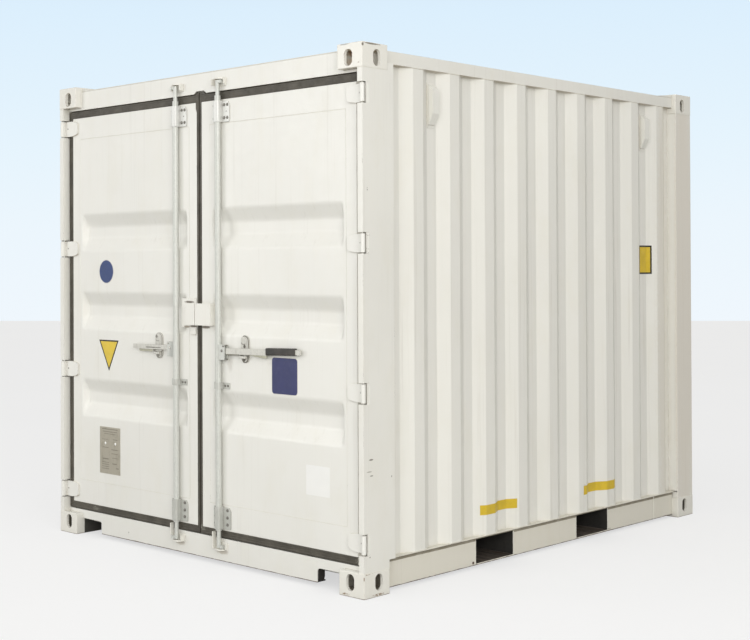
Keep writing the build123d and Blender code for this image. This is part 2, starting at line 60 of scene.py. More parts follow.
# ---------------------------------------------------------------- camera
def make_camera():
    yaw, pitch, roll = math.radians(44.020), math.radians(-0.457), math.radians(-0.234)
    fwd = Vector((-math.sin(yaw) * math.cos(pitch), math.cos(yaw) * math.cos(pitch), -math.sin(pitch)))
    right = Vector((math.cos(yaw), math.sin(yaw), 0.0))
    up = right.cross(fwd)
    r2 = right * math.cos(roll) + up * math.sin(roll)
    u2 = up * math.cos(roll) - right * math.sin(roll)
    data = bpy.data.cameras.new("camera")
    cam = bpy.data.objects.new("camera", data)
    bpy.context.scene.collection.objects.link(cam)
    m = Matrix((r2, u2, -fwd)).transposed().to_4x4()
    m.translation = Vector((5.508, -6.086, 1.5458))
    cam.matrix_world = m
    data.sensor_width = 36.0
    data.sensor_fit = 'HORIZONTAL'
    data.lens = 65.10
    data.shift_x = 0.0467
    data.shift_y = -0.0863
    data.clip_end = 300.0
    bpy.context.scene.camera = cam
    return cam, fwd, right


camera, VIEW_FWD, VIEW_RIGHT = make_camera()


# ---------------------------------------------------------------- materials
class Mat:
    """Builds one node material. Coordinates are the object's own, in metres."""

    def __init__(self, name):
        self.m = bpy.data.materials.new(name)
        self.m.use_nodes = True
        self.t = self.m.node_tree
        self.t.nodes.clear()
        self.out = self.n('ShaderNodeOutputMaterial')
        self.b = self.n('ShaderNodeBsdfPrincipled')
        self.t.links.new(self.b.outputs[0], self.out.inputs[0])
        tc = self.n('ShaderNodeTexCoord')
        self.obj = tc.outputs['Object']
        s = self.n('ShaderNodeSeparateXYZ')
        self.link(self.obj, s.inputs[0])
        self.x, self.y, self.z = s.outputs[0], s.outputs[1], s.outputs[2]
        self.geo = self.n('ShaderNodeNewGeometry')
        self.last_bump = None

    def n(self, kind):
        return self.t.nodes.new(kind)

    def link(self, a, b):
        self.t.links.new(a, b)

    def put(self, sock, v):
        if isinstance(v, bpy.types.NodeSocket):
            self.link(v, sock)
        elif isinstance(v, (tuple, list)) and len(v) == 3 and sock.type == 'RGBA':
            sock.default_value = (v[0], v[1], v[2], 1.0)
        else:
            sock.default_value = v

    def math(self, op, a, b=0.0, clamp=False):
        k = self.n('ShaderNodeMath')
        k.operation = op
        k.use_clamp = clamp
        self.put(k.inputs[0], a)
        self.put(k.inputs[1], b)
        return k.outputs[0]

    def mul(self, a, b):
        return self.math('MULTIPLY', a, b)

    def add(self, a, b):
        return self.math('ADD', a, b)

    def scaled(self, sx, sy, sz, loc=(0, 0, 0)):
        k = self.n('ShaderNodeMapping')
        self.link(self.obj, k.inputs[0])
        k.inputs['Scale'].default_value = (sx, sy, sz)
        k.inputs['Location'].default_value = loc
        return k.outputs[0]

    def noise(self, scale, detail=3.0, rough=0.5, vec=None, distortion=0.0):
        k = self.n('ShaderNodeTexNoise')
        self.link(vec if vec is not None else self.obj, k.inputs['Vector'])
        k.inputs['Scale'].default_value = scale
        k.inputs['Detail'].default_value = detail
        k.inputs['Roughness'].default_value = rough
        k.inputs['Distortion'].default_value = distortion
        return k.outputs[0]

    def voronoi(self, scale, vec=None, feature='F1', out='Distance', rand=1.0):
        k = self.n('ShaderNodeTexVoronoi')
        k.feature = feature
        self.link(vec if vec is not None else self.obj, k.inputs['Vector'])
        k.inputs['Scale'].default_value = scale
        k.inputs['Randomness'].default_value = rand
        return k.outputs[out]

    def ramp(self, v, a, b, lo=0.0, hi=1.0, smooth=True):
        """lo at a, hi at b."""
        k = self.n('ShaderNodeMapRange')
        k.interpolation_type = 'SMOOTHSTEP' if smooth else 'LINEAR'
        k.clamp = True
        self.put(k.inputs['Value'], v)
        if a > b:
            a, b, lo, hi = b, a, hi, lo
        k.inputs['From Min'].default_value = a
        k.inputs['From Max'].default_value = b
        k.inputs['To Min'].default_value = lo
        k.inputs['To Max'].default_value = hi
        return k.outputs['Result']

    def mix(self, fac, a, b):
        k = self.n('ShaderNodeMix')
        k.data_type = 'RGBA'
        self.put(k.inputs[0], fac)
        self.put(k.inputs[6], a)
        self.put(k.inputs[7], b)
        return k.outputs[2]

    def mixf(self, fac, a, b):
        k = self.n('ShaderNodeMix')
        k.data_type = 'FLOAT'
        self.put(k.inputs[0], fac)
        self.put(k.inputs[2], a)
        self.put(k.inputs[3], b)
        return k.outputs[0]

    def normal_xyz(self):
        """Surface normal in the object's own frame."""
        tr = self.n('ShaderNodeVectorTransform')
        tr.vector_type = 'NORMAL'
        tr.convert_from = 'WORLD'
        tr.convert_to = 'OBJECT'
        self.link(self.geo.outputs['Normal'], tr.inputs[0])
        s = self.n('ShaderNodeSeparateXYZ')
        self.link(tr.outputs[0], s.inputs[0])
        return s.outputs[0], s.outputs[1], s.outputs[2]

    def crevice(self, dist, samples=6):
        k = self.n('ShaderNodeAmbientOcclusion')
        k.samples = samples
        k.inputs['Distance'].default_value = dist
        return k.outputs['AO']

    def edge(self, radius, lo=0.985, hi=0.90):
        """1 on edges, 0 on faces."""
        k = self.n('ShaderNodeBevel')
        k.samples = 4
        k.inputs['Radius'].default_value = radius
        v = self.n('ShaderNodeVectorMath')
        v.operation = 'DOT_PRODUCT'
        self.link(k.outputs[0], v.inputs[0])
        self.link(self.geo.outputs['True Normal'], v.inputs[1])
        return self.ramp(v.outputs['Value'], lo, hi)

    def spot(self, centre, radii, wobble=0.35, scale=60.0, soft=0.5):
        """Irregular patch: 1 inside an ellipsoid, 0 outside."""
        k = self.n('ShaderNodeMapping')
        k.vector_type = 'POINT'
        self.link(self.obj, k.inputs[0])
        sc = [1.0 / r for r in radii]
        k.inputs['Scale'].default_value = sc
        k.inputs['Location'].default_value = [-c * q for c, q in zip(centre, sc)]
        v = self.n('ShaderNodeVectorMath')
        v.operation = 'LENGTH'
        self.link(k.outputs[0], v.inputs[0])
        n = self.noise(scale, 3.0, 0.6)
        d = self.add(v.outputs['Value'], self.math('MULTIPLY', self.math('SUBTRACT', n, 0.5), wobble * 2))
        return self.ramp(d, 1.0, 1.0 - soft)

    def maxi(self, *vals):
        r = vals[0]
        for v in vals[1:]:
            r = self.math('MAXIMUM', r, v)
        return r

    def bump(self, height, distance, strength=1.0):
        k = self.n('ShaderNodeBump')
        k.inputs['Strength'].default_value = strength
        k.inputs['Distance'].default_value = distance
        self.link(height, k.inputs['Height'])
        if self.last_bump is not None:
            self.link(self.last_bump, k.inputs['Normal'])
        self.last_bump = k.outputs[0]

    def finish(self, colour, roughness, metallic=0.0, specular=0.5, coat=0.0, coat_rough=0.1):
        self.put(self.b.inputs['Base Color'], colour)
        self.put(self.b.inputs['Roughness'], roughness)
        self.put(self.b.inputs['Metallic'], metallic)
        self.b.inputs['Specular IOR Level'].default_value = specular
        self.b.inputs['Coat Weight'].default_value = coat
        self.b.inputs['Coat Roughness'].default_value = coat_rough
        if self.last_bump is not None:
            self.link(self.last_bump, self.b.inputs['Normal'])
        return self.m


RUST = (0.105, 0.052, 0.030)
RUST_DARK = (0.045, 0.026, 0.020)
# warm dark colour of run-off dirt, also used for painted shade in corners and creases
DIRT_AND_SHADE = (0.33, 0.29, 0.22)


def paint(name, col, rough=0.40, streaks=0.5, crevice_shade=0.5, edge=0.0, edge_radius=0.004, low=None,
          spots=(), dark_paint_and_shade=(), wave=0.0, cast=False, shade_bands=(), stains_shade_and_light=(), bare=None, shine=0.5):
    """Weathered marine paint over steel, with painted shade: corners and creases darkened by ambient occlusion, and
    faces turned downwards darkened and warmed.
    low = (z0, height) worn band at a bottom edge; spots = worn or scuffed patches;
    level lines given as (z0, z1, colour, amount) are painted shade; bare = the two colours of worn places."""
    m = Mat(name)
    tone = m.noise(1.1, 3.0, 0.55)
    patch = m.noise(7.0, 4.0, 0.6, vec=m.scaled(1.0, 1.0, 0.45))
    c = m.mix(m.ramp(tone, 0.35, 0.65), [v * 0.975 for v in col], [v * 1.012 for v in col])
    c = m.mix(m.ramp(patch, 0.45, 0.75, 0.0, 0.30), c, [col[0] * 0.93, col[1] * 0.915, col[2] * 0.86])
    # faint run-off, drawn out downwards
    run = m.noise(1.0, 5.0, 0.62, vec=m.scaled(55.0, 55.0, 1.1))
    run2 = m.noise(1.0, 3.0, 0.55, vec=m.scaled(16.0, 16.0, 0.55, (3, 1, 7)))
    runs = m.mul(m.ramp(run, 0.50, 0.76), m.ramp(run2, 0.42, 0.66))
    c = m.mix(m.mul(runs, 0.30 * streaks), c, DIRT_AND_SHADE)
    # fine specks
    speck = m.voronoi(95.0)
    sp = m.mul(m.ramp(speck, 0.10, 0.04), m.ramp(m.noise(5.0, 2.0), 0.55, 0.70))
    c = m.mix(m.mul(sp, 0.35), c, (0.30, 0.24, 0.17))
    # painted shade: corners and creases darkened towards a warm dark colour by ambient occlusion
    if crevice_shade > 0:
        ao = m.crevice(0.045)
        g = m.mul(m.ramp(ao, 0.82, 0.30), m.ramp(m.noise(22.0, 4.0, 0.6), 0.25, 0.70, 0.45, 1.0))
        c = m.mix(m.mul(g, 0.55 * crevice_shade), c, DIRT_AND_SHADE)
    nx, ny, nz = m.normal_xyz()
    # painted shade: faces turned downwards darkened and warmed, standing in for the warm shade under things
    c = m.mix(m.ramp(nz, -0.70, -0.97, 0.0, 0.55), c, (0.52, 0.43, 0.30))
    r = m.add(m.ramp(m.noise(28.0, 4.0, 0.6), 0.3, 0.7, rough - 0.05, rough + 0.07), m.mul(runs, 0.12))
    worn = None
    chipnoise = m.noise(70.0, 5.0, 0.65)
    if edge > 0:
        e = m.edge(edge_radius)
        zone = m.ramp(m.noise(6.5, 3.0, 0.6), 0.62 - 0.22 * edge, 0.74 - 0.18 * edge)
        worn = m.mul(m.mul(e, zone), m.ramp(chipnoise, 0.46, 0.54))
    if low is not None:
        z0, h = low
        lim = m.add(m.math('SUBTRACT', m.z, z0), m.mul(m.math('SUBTRACT', m.noise(16.0, 4.0, 0.7), 0.5), -h * 1.6))
        band = m.ramp(lim, h, h * 0.45)
        worn = band if worn is None else m.maxi(worn, band)
    for s in spots:
        k = m.mul(m.spot(*s), m.ramp(chipnoise, 0.40, 0.52))
        worn = k if worn is None else m.maxi(worn, k)
    if worn is not None:
        lo_c, hi_c = bare or (RUST_DARK, RUST)
        rustc = m.mix(m.ramp(m.noise(150.0, 4.0, 0.7), 0.35, 0.65), lo_c, hi_c)
        c = m.mix(worn, c, rustc)
        r = m.mixf(worn, r, 0.75)
    # real dirt stains, and also painted shade and painted highlights at given places
    for s, colour, amount in stains_shade_and_light:
        k = m.spot(*s)
        c = m.mix(m.mul(k, amount), c, colour)
    # painted shade: level dark lines, such as the shadow under a lip
    for z0, z1, colour, amount in shade_bands:
        zz = m.add(m.z, m.mul(m.math('SUBTRACT', m.noise(45.0, 4.0, 0.6), 0.5), 0.003))
        k = m.mul(m.ramp(zz, z0 - 0.0012, z0 + 0.0012), m.ramp(zz, z1 + 0.0012, z1 - 0.0012))
        k = m.mul(k, m.ramp(m.noise(18.0, 4.0, 0.6), 0.25, 0.60, 0.80, 1.0))
        c = m.mix(m.mul(k, amount), c, colour)
    # boxes of dark colour: dark paint, and also painted shade in recesses
    for s, colour, amount in dark_paint_and_shade:
        (cx, cy, cz), (rx, ry, rz) = s
        k = 1.0
        for axis, q, r in ((m.x, cx, rx), (m.y, cy, ry), (m.z, cz, rz)):
            k = m.mul(m.ramp(m.math('ABSOLUTE', m.math('SUBTRACT', m.math('ABSOLUTE', axis) if axis is m.x else axis, q)),
                             r, r * 0.9), k)
        c = m.mix(m.mul(k, amount), c, colour)
    # paint skin: orange peel, and gentle waviness of thin sheet
    if wave > 0:
        m.bump(m.noise(3.2, 2.0, 0.5), wave, 1.0)
    if cast:
        m.bump(m.noise(120.0, 6.0, 0.68), 0.0009, 0.8)
        m.bump(m.noise(24.0, 3.0, 0.5), 0.0016, 0.6)
    else:
        m.bump(m.noise(420.0, 2.0, 0.5), 0.00009, 0.9)
    if worn is not None:
        m.bump(m.math('SUBTRACT', 1.0, worn), 0.00035, 0.8)
    return m.finish(c, r, 0.0, shine)


OFFWHITE = (0.800, 0.788, 0.735)
OFFWHITE_DOOR = (0.806, 0.797, 0.750)


def spot(x, d, z, rx, ry, rz, **k):
    return ((x, dd(d), z), (rx, ry, rz))


def at(x, y, z, rx, ry, rz):
    return ((x, y, z), (rx, ry, rz))


# darker patches below the hub and under the handle, and a short dark line at the foot of the lowest pressing
mat_door = paint("paint_door", OFFWHITE_DOOR, rough=0.40, streaks=0.40, crevice_shade=0.15, wave=0.0016,
                 stains_shade_and_light=[(at(0.24, dd(41), 1.04, 0.030, 0.0025, 0.05), DIRT_AND_SHADE, 0.25),
                         (at(0.60, dd(41), 1.06, 0.10, 0.0025, 0.02), DIRT_AND_SHADE, 0.15),
                         (at(0.95, dd(41), 0.70, 0.05, 0.0025, 0.010), DIRT_AND_SHADE, 0.12)])
# painted shadow: dark brown band on the frame just under the lock box
mat_door_frame = paint("paint_door_frame", OFFWHITE_DOOR, rough=0.38, streaks=0.45, crevice_shade=0.6, edge=0.25,
                       edge_radius=0.003, stains_shade_and_light=[(at(0.048, dd(42), 1.2275, 0.050, 0.012, 0.0085), (0.15, 0.115, 0.075), 0.85)])
mat_hinge = paint("paint_hinge", OFFWHITE_DOOR, rough=0.42, streaks=0.3, crevice_shade=0.9, edge=0.55, edge_radius=0.003)
# painted shade: the dark crescent inside the open top of the lock box, and painted shadow on the plates just under its
# lower edge
mat_lockbox = paint("paint_lockbox", (0.81, 0.795, 0.74), rough=0.42, streaks=0.4, crevice_shade=0.3, edge=0.30,
                    edge_radius=0.003,
                    stains_shade_and_light=[(at(-0.080, dd(37), 1.3585, 0.050, 0.006, 0.0075), (0.10, 0.075, 0.05), 0.9),
                            (at(-0.100, dd(37), 1.2270, 0.030, 0.006, 0.0075), (0.22, 0.17, 0.11), 0.8),
                            (at(-0.045, dd(37), 1.2300, 0.038, 0.010, 0.0075), (0.15, 0.115, 0.075), 0.85)])
mat_side = paint("paint_side", OFFWHITE, rough=0.42, streaks=0.75, crevice_shade=0.70, wave=0.0012,
                 stains_shade_and_light=[(at(1.17, -1.02, 2.10, 0.05, 0.02, 0.16), DIRT_AND_SHADE, 0.10),
                         (at(1.19, 0.35, 0.30, 0.05, 0.015, 0.02), DIRT_AND_SHADE, 0.35),
                         (at(1.19, 1.235, 1.30, 0.06, 0.13, 2.2), (0.66, 0.585, 0.455), 0.30)])
mat_roof = paint("paint_roof", (0.76, 0.745, 0.675), rough=0.50, streaks=0.2, crevice_shade=0.7, wave=0.0015,
                 stains_shade_and_light=[(at(0.3, -0.5, 2.57, 0.6, 0.5, 0.05), DIRT_AND_SHADE, 0.12),
                         (at(-0.5, 0.7, 2.57, 0.5, 0.6, 0.05), DIRT_AND_SHADE, 0.14)])
mat_post = paint("paint_post", OFFWHITE, rough=0.40, streaks=0.5, crevice_shade=0.55, edge=0.35, edge_radius=0.003,
                 spots=[at(1.2175, -1.455, 1.690, 0.004, 0.008, 0.006), at(1.2175, -1.452, 0.190, 0.004, 0.005, 0.005),
                        at(1.2175, -1.462, 1.905, 0.003, 0.003, 0.010), at(1.2175, -1.30, 0.55, 0.003, 0.004, 0.007)],
                 stains_shade_and_light=[(at(1.2175, -1.444, 0.643, 0.004, 0.018, 0.0048), (0.15, 0.13, 0.10), 0.9),
                         (at(1.2175, -1.455, 0.588, 0.004, 0.022, 0.0036), (0.28, 0.25, 0.20), 0.7),
                         (at(1.2175, -1.440, 0.568, 0.004, 0.014, 0.0038), (0.15, 0.13, 0.10), 0.8),
                         (at(1.2175, 1.400, 1.30, 0.02, 0.16, 2.2), (0.68, 0.600, 0.495), 0.38)])
# painted shade: grey level line along the header's top edge
mat_header = paint("paint_header", OFFWHITE_DOOR, rough=0.40, streaks=0.5, crevice_shade=0.6, edge=0.35, edge_radius=0.003,
                   shade_bands=[(2.5625, 2.5690, (0.42, 0.40, 0.34), 0.55)])
mat_sill = paint("paint_sill", OFFWHITE_DOOR, rough=0.42, streaks=0.4, crevice_shade=0.6, edge=0.45, edge_radius=0.004,
                 low=(0.020, 0.0045),
                 spots=[spot(-0.62, 42, 0.060, 0.006, 0.006, 0.010)],
                 dark_paint_and_shade=[(at(0.868, dd(75), 0.050, 0.0045, 0.0295, 0.045), (0.016, 0.014, 0.012), 0.96)],
                 stains_shade_and_light=[(at(0.175, dd(42), 0.072, 0.06, 0.02, 0.020), (0.40, 0.33, 0.24), 0.45),
                         (at(-0.165, dd(42), 0.072, 0.05, 0.02, 0.018), (0.40, 0.33, 0.24), 0.40)])
# painted shadow: the dark level band from 137 to 155 mm is the shade under the wall's bottom lip
mat_rail = paint("paint_rail", (0.735, 0.706, 0.622), shade_bands=[(0.1375, 0.1545, (0.20, 0.172, 0.118), 0.90)], rough=0.43, streaks=0.35, crevice_shade=0.75, edge=0.40, edge_radius=0.004,
                 low=(0.015, 0.0050),
                 spots=[at(1.18, 0.30, 0.040, 0.01, 0.020, 0.008), at(1.18, -0.64, 0.030, 0.01, 0.012, 0.010),
                        at(1.18, 0.62, 0.026, 0.01, 0.016, 0.006)])
mat_toprail = paint("paint_top_rail", OFFWHITE, rough=0.42, streaks=0.4, crevice_shade=0.6, edge=0.30, edge_radius=0.003)
mat_cast = paint("paint_casting", (0.800, 0.783, 0.722), rough=0.56, streaks=0.35, crevice_shade=0.40, edge=0.45, shine=0.22,
                 edge_radius=0.006, low=(0.0, 0.004), cast=True, bare=((0.20, 0.145, 0.10), (0.36, 0.27, 0.19)),
                 spots=[at(1.196, -1.4955, 2.494, 0.006, 0.004, 0.003),
                        at(1.2185, -1.4950, 0.095, 0.004, 0.004, 0.016), at(1.219, -1.4700, 0.113, 0.004, 0.018, 0.004),
                        at(1.100, -1.4955, 0.010, 0.030, 0.006, 0.007), at(1.219, -1.40, 0.010, 0.006, 0.05, 0.007)],
                 # painted shade: near black on the casting's inner face by the sill notch, where a deep shaded recess
                 # shows, and dark brown inside the bottom castings
                 dark_paint_and_shade=[(at(1.0575, dd(115), 0.060, 0.003, 0.0625, 0.070), (0.020, 0.018, 0.015), 0.94),
                             (at(1.136, -1.402, 0.060, 0.0730, 0.0830, 0.050), (0.170, 0.140, 0.090), 0.80),
                             (at(1.136, 1.402, 0.060, 0.0730, 0.0830, 0.050), (0.170, 0.140, 0.090), 0.80)],
                 stains_shade_and_light=[(at(1.219, -1.430, 2.5850, 0.005, 0.072, 0.0052), (0.20, 0.175, 0.14), 0.90),
                         (at(1.219, -1.4905, 2.5760, 0.006, 0.009, 0.0085), (0.18, 0.155, 0.12), 0.90),
                         (at(1.105, -1.4955, 2.5865, 0.036, 0.006, 0.0040), (0.34, 0.35, 0.35), 0.75),
                         # painted shade and painted light inside the holes: the upper part of the front hole darkened
                         # brown and its lower part lit pale, and the upper part of the side hole darkened
                         (at(1.085, dd(90), 2.560, 0.036, 0.058, 0.028), (0.46, 0.285, 0.165), 0.85),
                         (at(1.085, dd(90), 2.515, 0.036, 0.058, 0.030), (0.86, 0.70, 0.55), 0.75),
                         (at(1.160, -1.360, 2.562, 0.036, 0.036, 0.022), (0.34, 0.25, 0.15), 0.75)])


def metal_zinc(name, base=(0.60, 0.605, 0.585), rough=0.40, metallic=0.75, dirt_and_shade=0.5, spangle=1.0, low_base=None, corner=None):
    m = Mat(name)
    cell = m.voronoi(110.0, out='Color')
    k = m.n('ShaderNodeSeparateColor')
    m.link(cell, k.inputs[0])
    sp = k.outputs[0]
    c = m.mix(m.ramp(sp, 0.1, 0.9), [v * (1 - 0.10 * spangle) for v in base], [v * (1 + 0.08 * spangle) for v in base])
    if low_base is not None:
        c = m.mix(m.ramp(m.z, 1.6, 1.2), c, low_base)
    c = m.mix(m.ramp(m.noise(14.0, 4.0, 0.6), 0.45, 0.75, 0.0, 0.25), c, [min(1.0, v * 1.12) for v in base])
    run = m.noise(1.0, 4.0, 0.6, vec=m.scaled(90.0, 90.0, 5.0))
    c = m.mix(m.mul(m.ramp(run, 0.52, 0.75), 0.35 * dirt_and_shade), c, (0.30, 0.27, 0.22))
    # painted shade: corners and creases darkened by ambient occlusion, by the corner amount when given, else by the
    # dirt amount
    ao = m.crevice(0.012)
    c = m.mix(m.mul(m.ramp(ao, 0.85, 0.35), 0.55 * (dirt_and_shade if corner is None else corner)), c, (0.13, 0.11, 0.085))
    r = m.ramp(sp, 0.0, 1.0, rough - 0.06, rough + 0.10, smooth=False)
    m.bump(m.noise(260.0, 4.0, 0.6), 0.00012, 0.8)
    return m.finish(c, r, metallic, 0.5)


mat_zinc = metal_zinc("galvanised_steel", base=(0.615, 0.605, 0.555), rough=0.42, metallic=0.35, spangle=0.6, dirt_and_shade=1.0)
mat_zinc_white = metal_zinc("galvanised_bright", base=(0.62, 0.63, 0.59), rough=0.46, metallic=0.22, spangle=0.35,
                            dirt_and_shade=0.7, corner=0.12)
mat_bracket = metal_zinc("galvanised_bracket", base=(0.73, 0.73, 0.70), rough=0.46, metallic=0.2, spangle=0.35,
                         dirt_and_shade=0.9, low_base=(0.52, 0.525, 0.485))
# olive zinc: paints the shade on the right handle's flange and the left handle's lower lip
mat_shade_olive = metal_zinc("zinc_painted_shade", base=(0.44, 0.43, 0.335), rough=0.46, metallic=0.3, dirt_and_shade=0.9)
mat_rim_steel = metal_zinc("dull_steel", base=(0.36, 0.345, 0.30), rough=0.50, metallic=0.4, dirt_and_shade=0.9)
# near black: paints the shade of the right catch's rim and hole and of the left handle's groove
mat_shade_dark = metal_zinc("painted_shade_dark", base=(0.135, 0.125, 0.105), rough=0.55, metallic=0.4, dirt_and_shade=0.8)
# dark olive: paints the shadow under the right handle's lower edge
mat_shadow_olive = metal_zinc("painted_shadow_olive", base=(0.19, 0.18, 0.13), rough=0.50, metallic=0.3, dirt_and_shade=0.9)
# fastener colour; also paints the shade of the left catch's rim and hole
mat_fastener_and_shade = metal_zinc("fastener_steel_and_shade", base=(0.27, 0.26, 0.235), rough=0.50, metallic=0.5, dirt_and_shade=0.8)


def rubber(name, base=(0.076, 0.068, 0.053), dust=0.5):
    m = Mat(name)
    nx, ny, nz = m.normal_xyz()
    c = m.mix(m.ramp(m.noise(9.0, 4.0, 0.6), 0.35, 0.7), [v * 0.80 for v in base], [v * 1.25 for v in base])
    along = m.noise(1.0, 4.0, 0.6, vec=m.scaled(60.0, 60.0, 60.0))
    c = m.mix(m.mul(m.ramp(along, 0.52, 0.78), 0.25 * dust), c, (0.20, 0.18, 0.145))
    c = m.mix(m.mul(m.ramp(nz, 0.55, 0.95), 0.45 * dust), c, (0.17, 0.14, 0.115))
    # paint overspray on the hinge side of the right leaf
    over = m.mul(m.ramp(m.x, 1.1400, 1.1425), m.ramp(m.z, 2.4135, 2.4105))
    c = m.mix(m.mul(over, m.ramp(m.noise(35.0, 4.0, 0.6), 0.25, 0.60, 0.70, 0.92)), c, (0.52, 0.50, 0.44))
    # chalky rubs low down and at the meeting corner
    k = m.maxi(m.spot((-0.93, dd(43), 0.162), (0.035, 0.02, 0.012), 0.8, 90.0),
               m.spot((1.150, dd(43), 0.162), (0.032, 0.02, 0.014), 0.8, 90.0),
               m.spot((0.020, dd(43), 0.176), (0.030, 0.02, 0.022), 0.7, 60.0))
    k = m.mul(k, m.ramp(m.noise(120.0, 4.0, 0.7), 0.40, 0.60))
    c = m.mix(m.mul(k, 0.55), c, (0.34, 0.33, 0.28))
    r = m.ramp(m.noise(40.0, 3.0, 0.6), 0.3, 0.7, 0.46, 0.64)
    m.bump(m.noise(300.0, 3.0, 0.6), 0.00012, 0.7)
    return m.finish(c, r, 0.0, 0.45)


mat_rubber = rubber("seal_rubber")


def grip():
    m = Mat("grip_sleeve")
    base = (0.030, 0.027, 0.024)
    c = m.mix(m.ramp(m.noise(30.0, 4.0, 0.6), 0.35, 0.7), base, (0.060, 0.053, 0.046))
    c = m.mix(m.mul(m.edge(0.003), m.ramp(m.noise(60.0, 4.0), 0.45, 0.6, 0.0, 0.35)), c, (0.16, 0.145, 0.125))
    r = m.ramp(m.noise(60.0, 3.0, 0.6), 0.3, 0.7, 0.38, 0.58)
    m.bump(m.noise(500.0, 3.0, 0.6), 0.0001, 0.8)
    return m.finish(c, r, 0.0, 0.5)


mat_grip = grip()


def underbody():
    """Dark wax coat under the floor, scraped brown on the floors of the pockets."""
    m = Mat("underbody_coat")
    nx, ny, nz = m.normal_xyz()
    base = (0.020, 0.019, 0.017)
    c = m.mix(m.ramp(m.noise(8.0, 5.0, 0.6), 0.3, 0.7), base, (0.036, 0.034, 0.030))
    drag = m.noise(1.0, 5.0, 0.65, vec=m.scaled(2.2, 40.0, 40.0))
    low = m.ramp(m.z, 0.045, 0.024)
    up = m.ramp(nz, 0.3, 0.8)
    scr = m.mul(m.mul(low, up), m.ramp(drag, 0.40, 0.66))
    c = m.mix(m.mul(low, m.mul(up, 0.55)), c, (0.085, 0.070, 0.056))
    c = m.mix(m.mul(scr, 0.75), c, (0.20, 0.165, 0.135))
    rusty = m.mul(m.mul(low, up), m.ramp(m.noise(1.0, 4.0, 0.7, vec=m.scaled(5.0, 70.0, 30.0, (2, 5, 1))), 0.55, 0.70))
    c = m.mix(m.mul(rusty, 0.7), c, (0.13, 0.060, 0.035))
    side = m.mul(m.ramp(m.noise(1.0, 5.0, 0.7, vec=m.scaled(3.0, 30.0, 55.0, (7, 2, 4))), 0.60, 0.72),
                 m.ramp(m.noise(3.0, 2.0), 0.45, 0.65))
    c = m.mix(m.mul(side, 0.40), c, (0.14, 0.10, 0.075))
    r = m.ramp(m.noise(30.0, 4.0, 0.6), 0.3, 0.7, 0.42, 0.72)
    m.bump(m.noise(45.0, 5.0, 0.6), 0.0010, 0.7)
    return m.finish(c, r, 0.0, 0.45)


mat_under = underbody()


def vent_plastic():
    m = Mat("vent_moulding")
    col = (0.80, 0.79, 0.735)
    c = m.mix(m.ramp(m.noise(6.0, 3.0), 0.35, 0.65), [v * 0.97 for v in col], [v * 1.01 for v in col])
    # painted shade: corners and creases darkened by ambient occlusion
    ao = m.crevice(0.02)
    c = m.mix(m.ramp(ao, 0.85, 0.3, 0.0, 0.45), c, DIRT_AND_SHADE)
    run = m.noise(1.0, 4.0, 0.6, vec=m.scaled(70.0, 70.0, 2.0))
    c = m.mix(m.ramp(run, 0.55, 0.78, 0.0, 0.18), c, DIRT_AND_SHADE)
    r = m.ramp(m.noise(50.0, 3.0), 0.3, 0.7, 0.40, 0.52)
    m.bump(m.noise(600.0, 2.0), 0.00008, 0.8)
    return m.finish(c, r, 0.0, 0.45)


mat_vent = vent_plastic()


def plywood():
    m = Mat("floor_plywood")
    nx, ny, nz = m.normal_xyz()
    board = m.math('FLOOR', m.math('DIVIDE', m.add(m.x, 1.126), 0.3753))
    tint = m.math('FRACT', m.mul(m.math('SINE', m.mul(m.add(board, 1.7), 12.99)), 4375.5))
    grain = m.noise(1.0, 6.0, 0.62, vec=m.scaled(42.0, 2.4, 42.0), distortion=1.2)
    fine = m.noise(1.0, 3.0, 0.6, vec=m.scaled(320.0, 9.0, 320.0))
    c = m.mix(m.ramp(grain, 0.32, 0.68), (0.155, 0.082, 0.045), (0.285, 0.170, 0.098))
    c = m.mix(m.mul(m.ramp(fine, 0.50, 0.72), 0.5), c, (0.085, 0.045, 0.026))
    c = m.mix(m.mul(tint, 0.30), c, (0.33, 0.215, 0.13))
    scuff = m.noise(1.0, 5.0, 0.7, vec=m.scaled(14.0, 1.4, 14.0, (4, 4, 4)))
    c = m.mix(m.ramp(scuff, 0.56, 0.74, 0.0, 0.5), c, (0.30, 0.265, 0.225))
    # edge plies
    ply = m.math('FRACT', m.mul(m.z, 1.0 / 0.0028))
    side = m.ramp(m.math('ABSOLUTE', nz), 0.6, 0.3)
    c = m.mix(m.mul(side, m.ramp(ply, 0.35, 0.65)), c, (0.10, 0.055, 0.032))
    r = m.ramp(fine, 0.3, 0.7, 0.45, 0.68)
    m.bump(fine, 0.0002, 0.7)
    m.bump(grain, 0.0004, 0.6)
    return m.finish(c, r, 0.0, 0.4)


mat_ply = plywood()


def plate_metal():
    m = Mat("stamped_plate")
    brush = m.noise(1.0, 3.0, 0.6, vec=m.scaled(700.0, 700.0, 12.0))
    c = m.mix(m.ramp(brush, 0.3, 0.7), (0.415, 0.385, 0.312), (0.485, 0.45, 0.372))
    c = m.mix(m.ramp(m.noise(26.0, 4.0, 0.6), 0.50, 0.75, 0.0, 0.4), c, (0.25, 0.23, 0.18))
    r = m.ramp(brush, 0.3, 0.7, 0.34, 0.46)
    m.bump(brush, 0.00005, 0.8)
    return m.finish(c, r, 0.30, 0.5)


mat_plate = plate_metal()


